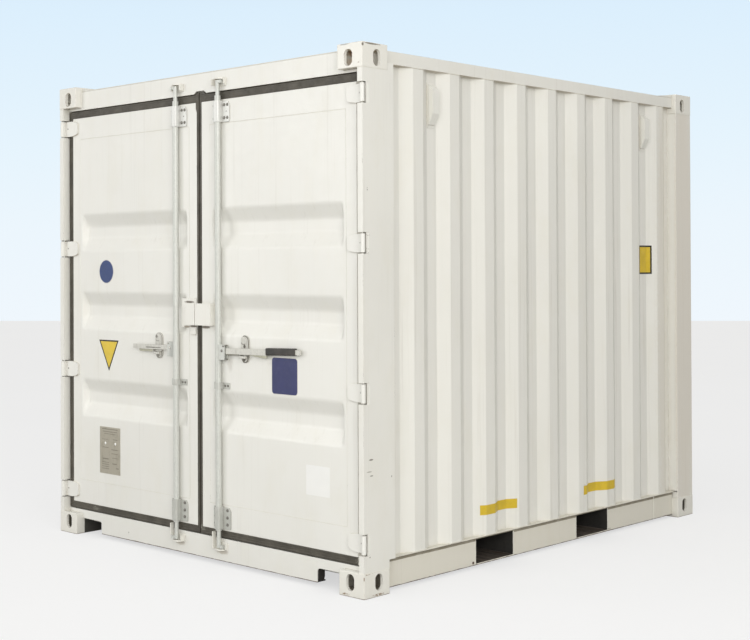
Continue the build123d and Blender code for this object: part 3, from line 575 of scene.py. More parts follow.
def vinyl(name, col, fade=0.5, dark=(0.10, 0.08, 0.05), blotch=1.0):
    """Stuck-on film: slight fading, dust and rubbed marks."""
    m = Mat(name)
    c = m.mix(m.ramp(m.noise(14.0, 4.0, 0.6), 0.3, 0.7), [v * (1 - 0.08 * blotch) for v in col],
              [min(1.0, v * (1 + 0.06 * blotch)) for v in col])
    c = m.mix(m.ramp(m.noise(60.0, 5.0, 0.7), 0.52, 0.74, 0.0, 0.30 * fade), c,
              [0.5 * v + 0.35 for v in col])
    c = m.mix(m.ramp(m.noise(1.0, 5.0, 0.7, vec=m.scaled(120.0, 120.0, 14.0)), 0.60, 0.75, 0.0, 0.35 * fade), c, dark)
    r = m.ramp(m.noise(40.0, 3.0), 0.3, 0.7, 0.30, 0.46)
    m.bump(m.noise(180.0, 3.0), 0.00006, 0.8)
    return m.finish(c, r, 0.0, 0.5)


mat_yellow = vinyl("film_yellow", (0.66, 0.465, 0.030))
mat_yellow_tri = vinyl("film_yellow_triangle", (0.72, 0.525, 0.050))
mat_blue = vinyl("film_blue", (0.030, 0.036, 0.125), fade=0.15)
mat_blue_disc = vinyl("film_blue_disc", (0.022, 0.050, 0.170), fade=0.2)
mat_white = vinyl("film_white", (0.865, 0.862, 0.835), fade=0.0, dark=(0.60, 0.58, 0.52), blotch=0.12)
mat_rim = vinyl("film_rim", (0.72, 0.70, 0.66), fade=0.3)
mat_film_black = vinyl("film_black", (0.022, 0.020, 0.014), fade=0.05)
mat_keeper = paint("paint_keeper", (0.80, 0.785, 0.725), rough=0.45, streaks=0.2, crevice_shade=0.30, edge=0.3)
mat_weld = paint("painted_weld", (0.785, 0.768, 0.695), rough=0.45, streaks=0.2, crevice_shade=0.8)


# ---------------------------------------------------------------- mesh helpers
class Build:
    """Collects vertices and faces, in metres, in the part's own frame."""

    def __init__(self):
        self.v = []
        self.f = []
        self.smooth = []

    def add(self, verts, faces, smooth=False):
        o = len(self.v)
        self.v += [tuple(p) for p in verts]
        self.f += [tuple(i + o for i in f) for f in faces]
        self.smooth += [smooth] * len(faces)

    def prism(self, outline, a, b, axis='y', round_=0.0):
        """Closed outline in the plane across axis, from a to b along it. Outline is counted
        anticlockwise when seen from the low end looking along the axis... both ends are capped."""
        def p(u, v, w):
            return {'y': (u, w, v), 'x': (w, u, v), 'z': (u, v, w)}[axis]
        n = len(outline)
        area = sum(outline[i][0] * outline[(i + 1) % n][1] - outline[(i + 1) % n][0] * outline[i][1] for i in range(n))
        pts = outline if area > 0 else outline[::-1]
        lo, hi = (a, b) if a < b else (b, a)
        flip = axis == 'y'
        verts = [p(u, v, lo) for u, v in pts] + [p(u, v, hi) for u, v in pts]
        faces = [tuple(range(n))[::-1], tuple(range(n, 2 * n))]
        for i in range(n):
            j = (i + 1) % n
            faces.append((i, j, n + j, n + i))
        if flip:
            faces = [f[::-1] for f in faces]
        self.add(verts, faces)

    def box(self, x0, x1, y0, y1, z0, z1, c=0.0):
        """Box with chamfered edges when c > 0."""
        if c <= 0:
            self.prism([(x0, y0), (x1, y0), (x1, y1), (x0, y1)], z0, z1, 'z')
            return
        lo, hi = (x0, y0, z0), (x1, y1, z1)
        verts, key = [], {}

        def vid(p):
            k = tuple(round(q, 7) for q in p)
            if k not in key:
                key[k] = len(verts)
                verts.append(p)
            return key[k]
        faces = []

        def face(pts, want):
            ids = [vid(p) for p in pts]
            a, b, d = (Vector(verts[i]) for i in ids[:3])
            if (b - a).cross(d - a).dot(Vector(want)) < 0:
                ids.reverse()
            faces.append(tuple(ids))
        rng = (-1, 1)

        def co(ax, s, inset):
            return (lo[ax] + (c if inset else 0)) if s < 0 else (hi[ax] - (c if inset else 0))
        for ax in range(3):
            o1, o2 = (ax + 1) % 3, (ax + 2) % 3
            for s in rng:
                pts = []
                for s1, s2 in ((-1, -1), (1, -1), (1, 1), (-1, 1)):
                    p = [0, 0, 0]
                    p[ax] = co(ax, s, False)
                    p[o1] = co(o1, s1, True)
                    p[o2] = co(o2, s2, True)
                    pts.append(tuple(p))
                w = [0, 0, 0]
                w[ax] = s
                face(pts, w)
        for ax in range(3):
            o1, o2 = (ax + 1) % 3, (ax + 2) % 3
            for s1 in rng:
                for s2 in rng:
                    pts = []
                    for s, first in ((-1, True), (1, True), (1, False), (-1, False)):
                        p = [0, 0, 0]
                        p[ax] = co(ax, s, True)
                        p[o1] = co(o1, s1, not first)
                        p[o2] = co(o2, s2, first)
                        pts.append(tuple(p))
                    w = [0, 0, 0]
                    w[o1], w[o2] = s1, s2
                    face(pts, w)
        for sx in rng:
            for sy in rng:
                for sz in rng:
                    pts = [(co(0, sx, False), co(1, sy, True), co(2, sz, True)),
                           (co(0, sx, True), co(1, sy, False), co(2, sz, True)),
                           (co(0, sx, True), co(1, sy, True), co(2, sz, False))]
                    face(pts, (sx, sy, sz))
        self.add(verts, faces)

    def turned(self, origin, axis, profile, seg=16, smooth=True, phase=0.0):
        """Profile of (radius, height) pairs turned about axis. Ends close on the axis."""
        ax = Vector(axis).normalized()
        u = ax.orthogonal().normalized()
        w = ax.cross(u)
        o = Vector(origin)
        verts, faces, rings = [], [], []
        for r, h in profile:
            if r < 1e-7:
                rings.append([len(verts)])
                verts.append(o + ax * h)
            else:
                ring = []
                for k in range(seg):
                    t = 2 * math.pi * k / seg + phase
                    ring.append(len(verts))
                    verts.append(o + ax * h + u * (r * math.cos(t)) + w * (r * math.sin(t)))
                rings.append(ring)
        for a, b in zip(rings, rings[1:]):
            for k in range(seg):
                j = (k + 1) % seg
                if len(a) == 1:
                    faces.append((a[0], b[j], b[k]))
                elif len(b) == 1:
                    faces.append((a[k], a[j], b[0]))
                else:
                    faces.append((a[k], a[j], b[j], b[k]))
        self.add(verts, faces, smooth)

    def tube(self, path, radius, seg=8, ripple=0.0, squash=1.0, normal=None):
        """Round bead or rod along a list of points. Both ends are closed."""
        pts = [Vector(p) for p in path]
        n = len(pts)
        tang = []
        for i in range(n):
            a = pts[max(0, i - 1)]
            b = pts[min(n - 1, i + 1)]
            tang.append((b - a).normalized())
        u = Vector(normal) if normal is not None else tang[0].orthogonal()
        verts, faces = [], []
        for i in range(n):
            t = tang[i]
            u = (u - t * u.dot(t)).normalized()
            w = t.cross(u)
            r = radius * (1.0 + ripple * math.sin(i * 2.1) + ripple * 0.6 * math.sin(i * 0.73 + 1.0))
            for k in range(seg):
                an = 2 * math.pi * k / seg
                verts.append(pts[i] + u * (r * squash * math.cos(an)) + w * (r * math.sin(an)))
        for i in range(n - 1):
            for k in range(seg):
                j = (k + 1) % seg
                faces.append((i * seg + k, i * seg + j, (i + 1) * seg + j, (i + 1) * seg + k))
        faces.append(tuple(range(seg))[::-1])
        faces.append(tuple(range((n - 1) * seg, n * seg)))
        self.add(verts, faces, True)

    def sheet(self, us, vs, front, back, keep=None, smooth=True):
        """Closed sheet over a grid: front(u, v) and back(u, v) give points."""
        nu, nv = len(us), len(vs)
        verts = [front(u, v) for u in us for v in vs] + [back(u, v) for u in us for v in vs]
        off = nu * nv
        cell = {}
        for i in range(nu - 1):
            for j in range(nv - 1):
                um, vm = (us[i] + us[i + 1]) / 2, (vs[j] + vs[j + 1]) / 2
                cell[i, j] = True if keep is None else bool(keep(um, vm))
        faces = []
        idx = lambda i, j: i * nv + j
        for (i, j), on in cell.items():
            if not on:
                continue
            a, b, c, d = idx(i, j), idx(i + 1, j), idx(i + 1, j + 1), idx(i, j + 1)
            faces.append((a, b, c, d))
            faces.append((off + d, off + c, off + b, off + a))
            for (ni, nj), (p, q) in (((i, j - 1), (a, b)), ((i + 1, j), (b, c)), ((i, j + 1), (c, d)), ((i - 1, j), (d, a))):
                if not cell.get((ni, nj), False):
                    faces.append((q, p, off + p, off + q))
        used = sorted({k for f in faces for k in f})
        remap = {k: n for n, k in enumerate(used)}
        self.add([verts[k] for k in used], [tuple(remap[k] for k in f) for f in faces], smooth)

    def piece(self, name, mat, body, slot=None, bevel=0.0, flip=False, autosmooth=35.0, weld=False, segments=2):
        me = bpy.data.meshes.new(name)
        me.from_pydata(self.v, [], self.f)
        bm = bmesh.new()
        bm.from_mesh(me)
        bmesh.ops.recalc_face_normals(bm, faces=bm.faces)
        bm.to_mesh(me)
        bm.free()
        me.polygons.foreach_set('use_smooth', [True] * len(self.f) if bevel > 0 else self.smooth)
        if flip:
            me.flip_normals()
        me.update()
        ob = bpy.data.objects.new(name, me)
        bpy.context.scene.collection.objects.link(ob)
        me.materials.append(mat)
        if not bevel:
            me.set_sharp_from_angle(angle=math.radians(autosmooth))
        if bevel > 0:
            b = ob.modifiers.new("round", 'BEVEL')
            b.width = bevel
            b.segments = segments
            b.limit_method = 'ANGLE'
            b.angle_limit = math.radians(30)
            b.harden_normals = False
            w = ob.modifiers.new("normals", 'WEIGHTED_NORMAL')
            w.weight = 50
        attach(ob, body)
        return ob


def mirrored(build):
    """Copy of a build on the other side of the middle plane."""
    o = Build()
    o.v = [(-x, y, z) for x, y, z in build.v]
    o.f = [f[::-1] for f in build.f]
    o.smooth = list(build.smooth)
    return o


def spaced(a, b, step):
    n = max(1, int(math.ceil(abs(b - a) / step)))
    return [a + (b - a) * i / n for i in range(n + 1)]


def line(p, q, step=0.006):
    p, q = Vector(p), Vector(q)
    n = max(1, int(math.ceil((q - p).length / step)))
    return [p.lerp(q, i / n) for i in range(n + 1)]


# ---------------------------------------------------------------- carried-over nodes
def normals_group():
    g = bpy.data.node_groups.new("plain_normals", 'GeometryNodeTree')
    g.interface.new_socket("Geometry", in_out='INPUT', socket_type='NodeSocketGeometry')
    g.interface.new_socket("Geometry", in_out='OUTPUT', socket_type='NodeSocketGeometry')
    i, o = g.nodes.new('NodeGroupInput'), g.nodes.new('NodeGroupOutput')
    s = g.nodes.new('GeometryNodeSetMeshNormal')
    s.mode = 'SHARPNESS'
    s.inputs['Remove Custom'].default_value = True
    a = g.nodes.new('GeometryNodeSetShadeSmooth')
    g.links.new(i.outputs[0], s.inputs['Mesh'])
    g.links.new(s.outputs[0], a.inputs[0])
    g.links.new(a.outputs[0], o.inputs[0])
    return g


PLAIN = normals_group()


def dress(node, mat, bevel=0.0, segments=2):
    """Gives a CAD node its finish and, where bevel > 0, small rounded edges."""
    ob = NODES[node]
    ob.data.materials.clear()
    ob.data.materials.append(mat)
    if bevel <= 0:
        return ob
    g = ob.modifiers.new("normals0", 'NODES')
    g.node_group = PLAIN
    w = ob.modifiers.new("join", 'WELD')
    w.merge_threshold = 0.00002
    d = ob.modifiers.new("flat", 'DECIMATE')
    d.decimate_type = 'DISSOLVE'
    d.angle_limit = math.radians(1.2)
    b = ob.modifiers.new("round", 'BEVEL')
    b.width = bevel
    b.segments = segments
    b.limit_method = 'ANGLE'
    b.angle_limit = math.radians(38)
    n = ob.modifiers.new("normals", 'WEIGHTED_NORMAL')
    n.weight = 50
    return ob


for side in ("right", "left"):
    dress(side + "_door_frame", mat_door_frame, 0.0030, 3)
    dress(side + "_hinge_blades", mat_hinge, 0.0014)
    dress(side + "_bar_brackets", mat_bracket, 0.0012)
    dress(side + "_handle_catch", mat_zinc, 0.0010)
    dress(side + "_lock_box", mat_lockbox, 0.0009)
    dress(side + "_door_gasket", mat_rubber, 0.0020)
    dress(side + "_lock_bar", mat_zinc_white, 0.0012)
    dress(side + "_handle", mat_zinc, 0.0016)
    dress(side + "_door_post", mat_post, 0.0022, 3)
    dress(side + "_end_post", mat_post, 0.0022, 3)
    dress(side + "_bottom_rail", mat_rail, 0.0018)
    dress(side + "_top_rail", mat_toprail, 0.0030, 3)
    dress(side + "_side_wall", mat_side)
dress("right_handle_grip", mat_grip, 0.0015)
dress("end_wall", mat_side)
dress("end_bottom_rail", mat_rail, 0.0025)
dress("end_top_rail", mat_toprail, 0.0030, 3)
dress("door_header", mat_header, 0.0020)
dress("door_sill", mat_sill, 0.0018)
dress("cam_keepers", mat_keeper, 0.0012)
dress("cross_members", mat_under, 0.0016)
dress("door_end_fork_pocket", mat_under, 0.0015)
dress("closed_end_fork_pocket", mat_under, 0.0015)
dress("hinge_pins", mat_zinc, 0.0)
dress("bottom_corner_castings", mat_cast)
dress("top_corner_castings", mat_cast)
dress("roof_corner_plates", mat_toprail, 0.0010)
dress("ventilators", mat_vent)
dress("data_plate", mat_plate, 0.0005)


# ---------------------------------------------------------------- door skins
def eased(u, length, r):
    """Straight ramp from 0 at u=0 to 1 at u=length with rounded ends."""
    if u <= -r:
        return 0.0
    if u < r:
        return (u + r) ** 2 / (4 * r * length)
    if u <= length - r:
        return u / length
    if u < length + r:
        return 1.0 - (length + r - u) ** 2 / (4 * r * length)
    return 1.0


BAND_TOPS = (1.850, 1.400, 0.900)


def press(x, z):
    s = 0.0
    for zt in BAND_TOPS:
        zb = zt - 0.210
        if zb - 0.03 < z < zt + 0.03:
            a = min(eased(z - zb, 0.071, 0.012), eased(zt - z, 0.071, 0.012))
            b = min(eased(x - 0.105, 0.020, 0.006), eased(1.053 - x, 0.020, 0.006))
            s = max(s, a * b)
    return 0.036 * s


def door_skin():
    xs = [0.084, 0.094] + spaced(0.0985, 0.132, 0.0026) + spaced(0.16, 1.0, 0.07) + spaced(1.026, 1.0595, 0.0026) + [1.065, 1.072]
    zs = [0.315, 0.33]
    for zt in reversed(BAND_TOPS):
        zb = zt - 0.210
        zs += [zb - 0.06] + spaced(zb - 0.013, zb + 0.013, 0.0033) + spaced(zb + 0.020, zb + 0.052, 0.016) \
            + spaced(zb + 0.0585, zb + 0.084, 0.0032) + [zb + 0.095, zb + 0.115] + spaced(zt - 0.084, zt - 0.0585, 0.0032) \
            + spaced(zt - 0.052, zt - 0.020, 0.016) + spaced(zt - 0.013, zt + 0.013, 0.0033) + [zt + 0.06]
    zs += spaced(2.0, 2.27, 0.09) + [2.290]
    b = Build()
    b.sheet(xs, sorted(set(zs)), lambda x, z: (x, dd(42) + press(x, z), z), lambda x, z: (x, dd(45) + press(x, z), z))
    return b


skin = door_skin()
for side, bb in (("right", skin), ("left", mirrored(skin))):
    ob = bb.piece(side + "_door_skin", mat_door, side + "_door", "door_paint", autosmooth=60)
    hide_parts(side + "_door_panel")


# ---------------------------------------------------------------- roof skin
def roof_skin():
    ys = [dd(45), -1.40, -1.3155]
    cent = [(-12 + 2 * k) * 0.1045 for k in range(13)]
    for c in cent:
        ys += spaced(c - 0.064, c - 0.034, 0.0038) + [c] + spaced(c + 0.034, c + 0.064, 0.0038)
    ys += [1.3155, 1.40, 1.484]
    xs = [-1.190, -1.055] + spaced(-1.052, -1.024, 0.004) + spaced(-0.95, 0.95, 0.16) + spaced(1.024, 1.052, 0.004) + [1.055, 1.190]

    def depth(x, y):
        s = 0.0
        for c in cent:
            if abs(y - c) < 0.07:
                a = min(eased(y - c + 0.058, 0.019, 0.006), eased(c + 0.058 - y, 0.019, 0.006))
                b = min(eased(x + 1.050, 0.019, 0.004), eased(1.050 - x, 0.019, 0.004))
                s = max(s, a * b)
        return 0.020 * s
    b = Build()
    b.sheet(xs, ys, lambda x, y: (x, y, 2.570 - depth(x, y)), lambda x, y: (x, y, 2.568 - depth(x, y)),
            keep=lambda x, y: abs(x) < 1.055 or abs(y) < 1.3155)
    return b


ob = roof_skin().piece("roof_skin", mat_roof, "root", "shell_paint", autosmooth=60)
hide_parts("roof_panel")


# ---------------------------------------------------------------- floor
def floor():
    b, s = Build(), Build()
    edges = [-1.126 + k * 0.37533 for k in range(7)]
    y0, y1, yc = dd(131), 1.424, 1.3155
    for k in range(6):
        g0 = 0.0009 if k else 0.0
        g1 = 0.0009 if k < 5 else 0.0
        x0, x1 = edges[k] + g0, edges[k + 1] - g1
        if k == 0:
            out = [(x0, -yc), (-1.056, -yc), (-1.056, y0), (x1, y0), (x1, y1), (-1.056, y1), (-1.056, yc), (x0, yc)]
        elif k == 5:
            out = [(x0, y0), (1.056, y0), (1.056, -yc), (x1, -yc), (x1, yc), (1.056, yc), (1.056, y1), (x0, y1)]
        else:
            out = [(x0, y0), (x1, y0), (x1, y1), (x0, y1)]
        b.prism(out, 0.150, 0.178, 'z')
        for yb in (-1.240, -1.020, -0.810, -0.575, -0.180, 0.0, 0.165, 0.33, 0.57, 0.760, 0.965, 1.175):
            for xx in (x0 + 0.028, (x0 + x1) / 2, x1 - 0.028):
                if abs(xx) > 1.04 and abs(yb) > 1.28:
                    continue
                s.turned((xx, yb + 0.022, 0.1778), (0, 0, 1),
                         [(0, 0), (0.0062, 0), (0.0062, 0.0006), (0.0040, 0.0006), (0.0026, 0.0002), (0, 0.0002)], 10)
    p = b.piece("floor_planks", mat_ply, "root", "floor_plywood", bevel=0.0012)
    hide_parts("floor_boards")
    s.piece("floor_screws", mat_fastener_and_shade, "root", "galvanised")


floor()


def threshold_corners():
    """Plates that close the floor's corners beside the door posts, above the castings."""
    b = Build()
    for q in (1, -1):
        for x0, x1, y0, y1, z0, z1 in ((1.0575, 1.1845, -1.3640, -1.3160, 0.1725, 0.1778),
                                       (1.0575, 1.1845, -1.3640, -1.3590, 0.1190, 0.1724),
                                       (1.1265, 1.1845, -1.3155, -1.2815, 0.1725, 0.1778)):
            b.box(min(q * x0, q * x1), max(q * x0, q * x1), y0, y1, z0, z1, 0.0006)
    b.piece("threshold_corners", mat_weld, "root", "frame_paint")


threshold_corners()


# ---------------------------------------------------------------- side wall line
PITCH, FIRST, SLOPE, FLAT, WALL_OUT, WALL_DEPTH = 0.280, -1.312, 0.068, 0.070, 1.194, 0.036


def wall_x(y):
    """X of the outer face of the right side wall at y."""
    u = (y - FIRST) % PITCH
    if u < SLOPE:
        v = u / SLOPE
    elif u < SLOPE + FLAT:
        v = 1.0
    elif u < 2 * SLOPE + FLAT:
        v = 1.0 - (u - SLOPE - FLAT) / SLOPE
    else:
        v = 0.0
    return WALL_OUT - WALL_DEPTH * v


def end_y(x):
    """Y of the outer face of the end wall at x."""
    s = -3.5 * 0.250 - 0.070
    for k in range(8):
        u = x - (s + k * 0.250)
        if 0 <= u <= 0.140:
            v = min(u / 0.018, 1.0, (0.140 - u) / 0.018)
            return 1.477 - 0.042 * v
    return 1.477


# ---------------------------------------------------------------- weld beads
def welds_root():
    b = Build()
    for s in (1, -1):
        # casting to post, on both faces
        for z in (0.118, 2.473):
            b.tube(line((s * 1.186, dd(2.6), z), (s * 1.2165, dd(2.6), z)), 0.0024, 6, 0.10)
            b.tube(line((s * 1.2168, dd(3), z), (s * 1.2168, dd(177), z)), 0.0022, 6, 0.10)
            b.tube(line((s * 1.2168, 1.3195, z), (s * 1.2168, 1.4925, z)), 0.0022, 6, 0.10)
            b.tube(line((s * 1.060, 1.4925, z), (s * 1.2165, 1.4925, z)), 0.0022, 6, 0.10)
        # rails to castings
        for y in (-1.3170, 1.3170):
            b.tube(line((s * 1.1795, y, 0.016), (s * 1.1795, y, 0.117)), 0.0035, 6, 0.12)
            b.tube(line((s * 1.1935, y, 2.509), (s * 1.1935, y, 2.567)), 0.0030, 6, 0.12)
        # a joint in the bottom rail
        b.tube(line((s * 1.1798, 1.100, 0.016), (s * 1.1798, 1.100, 0.154)), 0.0024, 6, 0.12)
        # header and sill to castings
        b.tube(line((s * 1.0572, dd(42.3), 2.474), (s * 1.0572, dd(42.3), 2.566)), 0.0028, 6, 0.10)
        b.tube(line((s * 1.0572, dd(42.3), 0.092), (s * 1.0572, dd(42.3), 0.117)), 0.0028, 6, 0.10)
        # fork pocket frames
        for c in (-0.458, 0.442):
            for y in (c - 0.160, c + 0.160):
                b.tube(line((s * 1.1785, y, 0.024), (s * 1.1785, y, 0.146)), 0.0022, 6, 0.15)
        # wall to posts
        b.tube(line((s * 1.1945, -1.2746, 0.162), (s * 1.1945, -1.2746, 2.506), 0.009), 0.0026, 6, 0.10)
    b.v = [(max(-HX, min(HX, p[0])), max(-HY, min(HY, p[1])), p[2]) for p in b.v]
    b.piece("frame_welds", mat_weld, "root", "frame_paint")
    w = Build()
    for s in (1, -1):
        ys = spaced(-1.274, 1.317, 0.007)
        w.tube([(s * (wall_x(y) + 0.0006), y, 0.1612) for y in ys], 0.0028, 6, 0.12, normal=(0, 0, 1))
        w.tube([(s * (wall_x(y) + 0.0006), y, 2.5068) for y in ys], 0.0026, 6, 0.12, normal=(0, 0, 1))
    xs = spaced(-1.056, 1.056, 0.007)
    w.tube([(x, end_y(x) + 0.0006, 0.1512) for x in xs], 0.0028, 6, 0.12, normal=(0, 0, 1))
    w.tube([(x, end_y(x) + 0.0006, 2.5068) for x in xs], 0.0026, 6, 0.12, normal=(0, 0, 1))
    w.piece("wall_welds", mat_weld, "root", "shell_paint")


welds_root()


def door_welds():
    b = Build()
    y = dd(42.25)
    for z in (0.315, 2.290):
        b.tube(line((0.086, y, z), (1.070, y, z), 0.008), 0.0013, 6, 0.10)
    for x in (0.084, 1.072):
        b.tube(line((x, y, 0.317), (x, y, 2.288), 0.009), 0.0009, 6, 0.08)
    # round the hinge blades
    for zc in (2.355, 1.653, 0.952, 0.250):
        h = 0.044
        pts = [(1.143, zc + h), (1.100, zc + h - 0.007), (1.087, zc + h - 0.016), (1.087, zc - h + 0.016),
               (1.100, zc - h + 0.007), (1.143, zc - h)]
        path = []
        for p, q in zip(pts, pts[1:]):
            path += line((p[0], y, p[1]), (q[0], y, q[1]), 0.006)[:-1]
        path.append(Vector((pts[-1][0], y, pts[-1][1])))
        b.tube(path, 0.0022, 6, 0.12, normal=(0, 1, 0))
    return b


dw = door_welds()
dw.piece("right_door_welds", mat_weld, "right_door", "door_paint")
mirrored(dw).piece("left_door_welds", mat_weld, "left_door", "door_paint")


# ---------------------------------------------------------------- door seals
def seal_ribs():
    """Raised ribs along the front of the seal: a closed ring at each share of its width."""
    b = Build()
    inner = (0.0200, 1.1430, 0.180, 2.414)
    outer = (0.0040, 1.1795, 0.143, 2.454)

    def ring(u, d):
        x0, x1, z0, z1 = [i + (o - i) * u for i, o in zip(inner, outer)]
        return [(x0, dd(d), z0), (x1, dd(d), z0), (x1, dd(d), z1), (x0, dd(d), z1)]
    for prof in ([(0.03, 43.9), (0.06, 42.6), (0.12, 42.1), (0.20, 42.1), (0.27, 42.6), (0.30, 43.9)],
                 [(0.42, 43.8), (0.46, 43.0), (0.54, 43.0), (0.58, 43.8)],
                 [(0.70, 43.9), (0.76, 42.4), (0.84, 41.9), (0.92, 42.1), (0.97, 42.8), (0.98, 43.9)]):
        rings = [ring(u, d) for u, d in prof]
        verts = [p for r in rings for p in r]
        faces = []
        m = len(rings)
        for i in range(m):
            j = (i + 1) % m
            for k in range(4):
                l = (k + 1) % 4
                faces.append((4 * i + k, 4 * i + l, 4 * j + l, 4 * j + k))
        b.add(verts, faces, True)
    return b


ribs = seal_ribs()
ribs.piece("right_seal_ribs", mat_rubber, "right_door", "seal_rubber", autosmooth=50)
mirrored(ribs).piece("left_seal_ribs", mat_rubber, "left_door", "seal_rubber", autosmooth=50)


# ---------------------------------------------------------------- fasteners
def rivet(b, x, d, z, r=0.0050, h=0.0024, axis=(0, -1, 0)):
    b.turned((x, dd(d), z), axis, [(0, 0), (r, 0), (r, h * 0.25), (r * 0.86, h * 0.65), (r * 0.5, h * 0.94), (0, h)], 14)


def bolt(b, x, d, z, r=0.0070, h=0.0045, turn=0.3):
    ax = (0, -1, 0)
    b.turned((x, dd(d), z), ax, [(0, 0), (r * 1.25, 0), (r * 1.25, 0.0012), (0, 0.0012)], 18)
    b.turned((x, dd(d) - 0.0011, z), ax, [(0, 0), (r, 0), (r, h * 0.8), (r * 0.86, h), (0, h)], 6, False, turn)
    b.turned((x, dd(d) - 0.0010 - h, z), ax, [(0, 0), (r * 0.45, 0), (r * 0.45, 0.0008), (r * 0.36, 0.0012), (0, 0.0012)], 10)


for side, s, X in (("right", 1, 0.172), ("left", -1, -0.172)):
    b = Build()
    for z in (2.383, 2.316):
        rivet(b, X - 0.0480, 37, z, 0.0052, 0.0042)
        for dx in (0.036, 0.060):
            bolt(b, X + dx, 36, z, 0.0066, 0.0040, RNG.random())
    for z in (0.288, 0.250, 0.214):
        rivet(b, X - 0.0480, 37, z, 0.0052, 0.0042)
        bolt(b, X + 0.052, 36, z, 0.0066, 0.0040, RNG.random())
    rivet(b, X - 0.0430, 37, 0.930, 0.0050, 0.0046)
    for dx in (0.036, 0.058):
        bolt(b, X + dx, 37, 0.930, 0.0052, 0.0032, RNG.random())
    b.piece(side + "_bracket_bolts", mat_fastener_and_shade, side + "_door", "galvanised")
    c = Build()
    rivet(c, X + 0.052, 36, 2.349, 0.0034, 0.0016)
    for zc in (2.355, 1.653, 0.952, 0.250):
        # plug weld dot at the root of each blade
        rivet(c, s * 1.176, 30, zc + 0.002, 0.0042, 0.0018)
    c.piece(side + "_hardware_dots", mat_fastener_and_shade, side + "_door", "galvanised")
    h = Build()
    px = s * 0.212
    h.turned((px, dd(10), 1.112), (0, -1, 0), [(0, 0), (0.0074, 0), (0.0074, 0.0016), (0.0052, 0.0036), (0, 0.0040)], 20)
    h.piece(side + "_hub_pins", mat_fastener_and_shade if s > 0 else mat_zinc, side + "_lock_bar", "galvanised")
    h = Build()
    h.turned((s * 0.2245, dd(10), 1.1360), (0, -1, 0), [(0, 0), (0.0046, 0), (0.0046, 0.0040), (0.0030, 0.0052), (0, 0.0052)], 14)
    # lips of the fork, turned round at the outer end
    for z in (1.1395, 1.0685):
        h.tube([(s * 0.2325, dd(12 + q * 3.2), z) for q in range(7)], 0.0042, 8)
    h.piece(side + "_hub_lips", mat_fastener_and_shade if s > 0 else mat_zinc, side + "_lock_bar", "galvanised")


def collars():
    """Stop rings on the lock bars, just clear of the bracket sleeves."""
    for side, s in (("right", 1), ("left", -1)):
        b = Build()
        for z in (2.4105, 0.3105):
            b.turned((s * 0.172, dd(22), z), (0, 0, 1),
                     [(0.0160, 0), (0.0186, 0.0006), (0.0194, 0.0030), (0.0186, 0.0054), (0.0160, 0.0060)], 28)
        b.piece(side + "_bar_collars", mat_zinc_white, side + "_lock_bar", "galvanised")


# ---------------------------------------------------------------- handle catches
def ring_path(x, d, z, rx, rz, n=36, a0=0.0, a1=360.0):
    return [(x + rx * math.cos(math.radians(a0 + (a1 - a0) * k / n)), dd(d),
             z + rz * math.sin(math.radians(a0 + (a1 - a0) * k / n))) for k in range(n + 1)]


def catch(X, dz=0.0):
    """Flap lying against the oval plate and its hinge boss, all behind the handle."""
    b = Build()
    z1 = 1.195 + dz
    b.turned((X - 0.004, dd(34), z1 - 0.029), (0, -1, 0),
             [(0, 0), (0.0190, 0), (0.0190, 0.0010), (0.0170, 0.0019), (0.0100, 0.0020), (0.0090, 0.0012), (0, 0.0012)], 28)
    b.prism([(X - 0.022, z1 - 0.032), (X + 0.013, z1 - 0.032), (X + 0.010, z1 - 0.088), (X + 0.004, z1 - 0.094),
             (X - 0.010, z1 - 0.094), (X - 0.017, z1 - 0.088)], dd(32.2), dd(34.2), 'y')
    for q in (-1, 1):
        b.box(X + q * 0.0215 - 0.0025, X + q * 0.0215 + 0.0025, dd(16), dd(35), 1.0905 + dz, 1.0935 + dz, 0.0008)
    return b


def catch_rim(X, dz=0.0, thick=0.0024):
    """Lip round the right-hand half of the oval, and the knuckle of the flap; coloured dark, the lip paints the shade
    on that side of the raised cup.
    """
    b = Build()
    z0, z1 = 1.055 + dz, 1.195 + dz
    rim = ring_path(X, 34.4, z1 - 0.030, 0.0275, 0.0275, 12, 110, 0) + ring_path(X, 34.4, z0 + 0.030, 0.0275, 0.0275, 12, 0, -110)
    b.tube(rim, thick, 8, normal=(0, 1, 0))
    b.tube(ring_path(X - 0.006, 33.2, z1 - 0.040, 0.0150, 0.0060, 12, 150, 330), 0.0018, 8, normal=(0, 1, 0))
    return b


catch(0.362).piece("right_catch_details", mat_zinc, "right_door", "galvanised", bevel=0.0004)
catch(-0.336, -0.006).piece("left_catch_details", mat_zinc, "left_door", "galvanised", bevel=0.0004)
# painted shade: the rims are coloured dark to stand for the shade on the right-hand side of each raised cup
catch_rim(0.362).piece("right_catch_rim", mat_shade_dark, "right_door", "galvanised")
catch_rim(-0.336, -0.006, 0.0017).piece("left_catch_rim", mat_fastener_and_shade, "left_door", "galvanised")
for side, X, dz in (("right", 0.362, 0.0), ("left", -0.336, -0.006)):
    # painted shade: thin dark discs stand for the shade inside the catch's hole and in the small recess below the
    # handle
    b = Build()
    if side == "right":
        hole = (X + 0.001, dd(32.4), 1.1385)
    else:
        hole = (X - 0.016, dd(32.4), 1.1680)
    b.turned(hole, (0, -1, 0), [(0, 0), (0.0090, 0), (0.0090, 0.0003), (0.0070, 0.0004), (0, 0.0004)], 18)
    b.turned((X - 0.006, dd(33.6), 1.0730 + dz), (0, -1, 0), [(0, 0), (0.0125, 0), (0.0125, 0.0006), (0, 0.0006)], 20)
    b.piece(side + "_catch_hole_shade", mat_shade_dark if side == "right" else mat_fastener_and_shade, side + "_door", "galvanised")


# ---------------------------------------------------------------- grip sleeve ribs
TILT = math.radians(1.6)


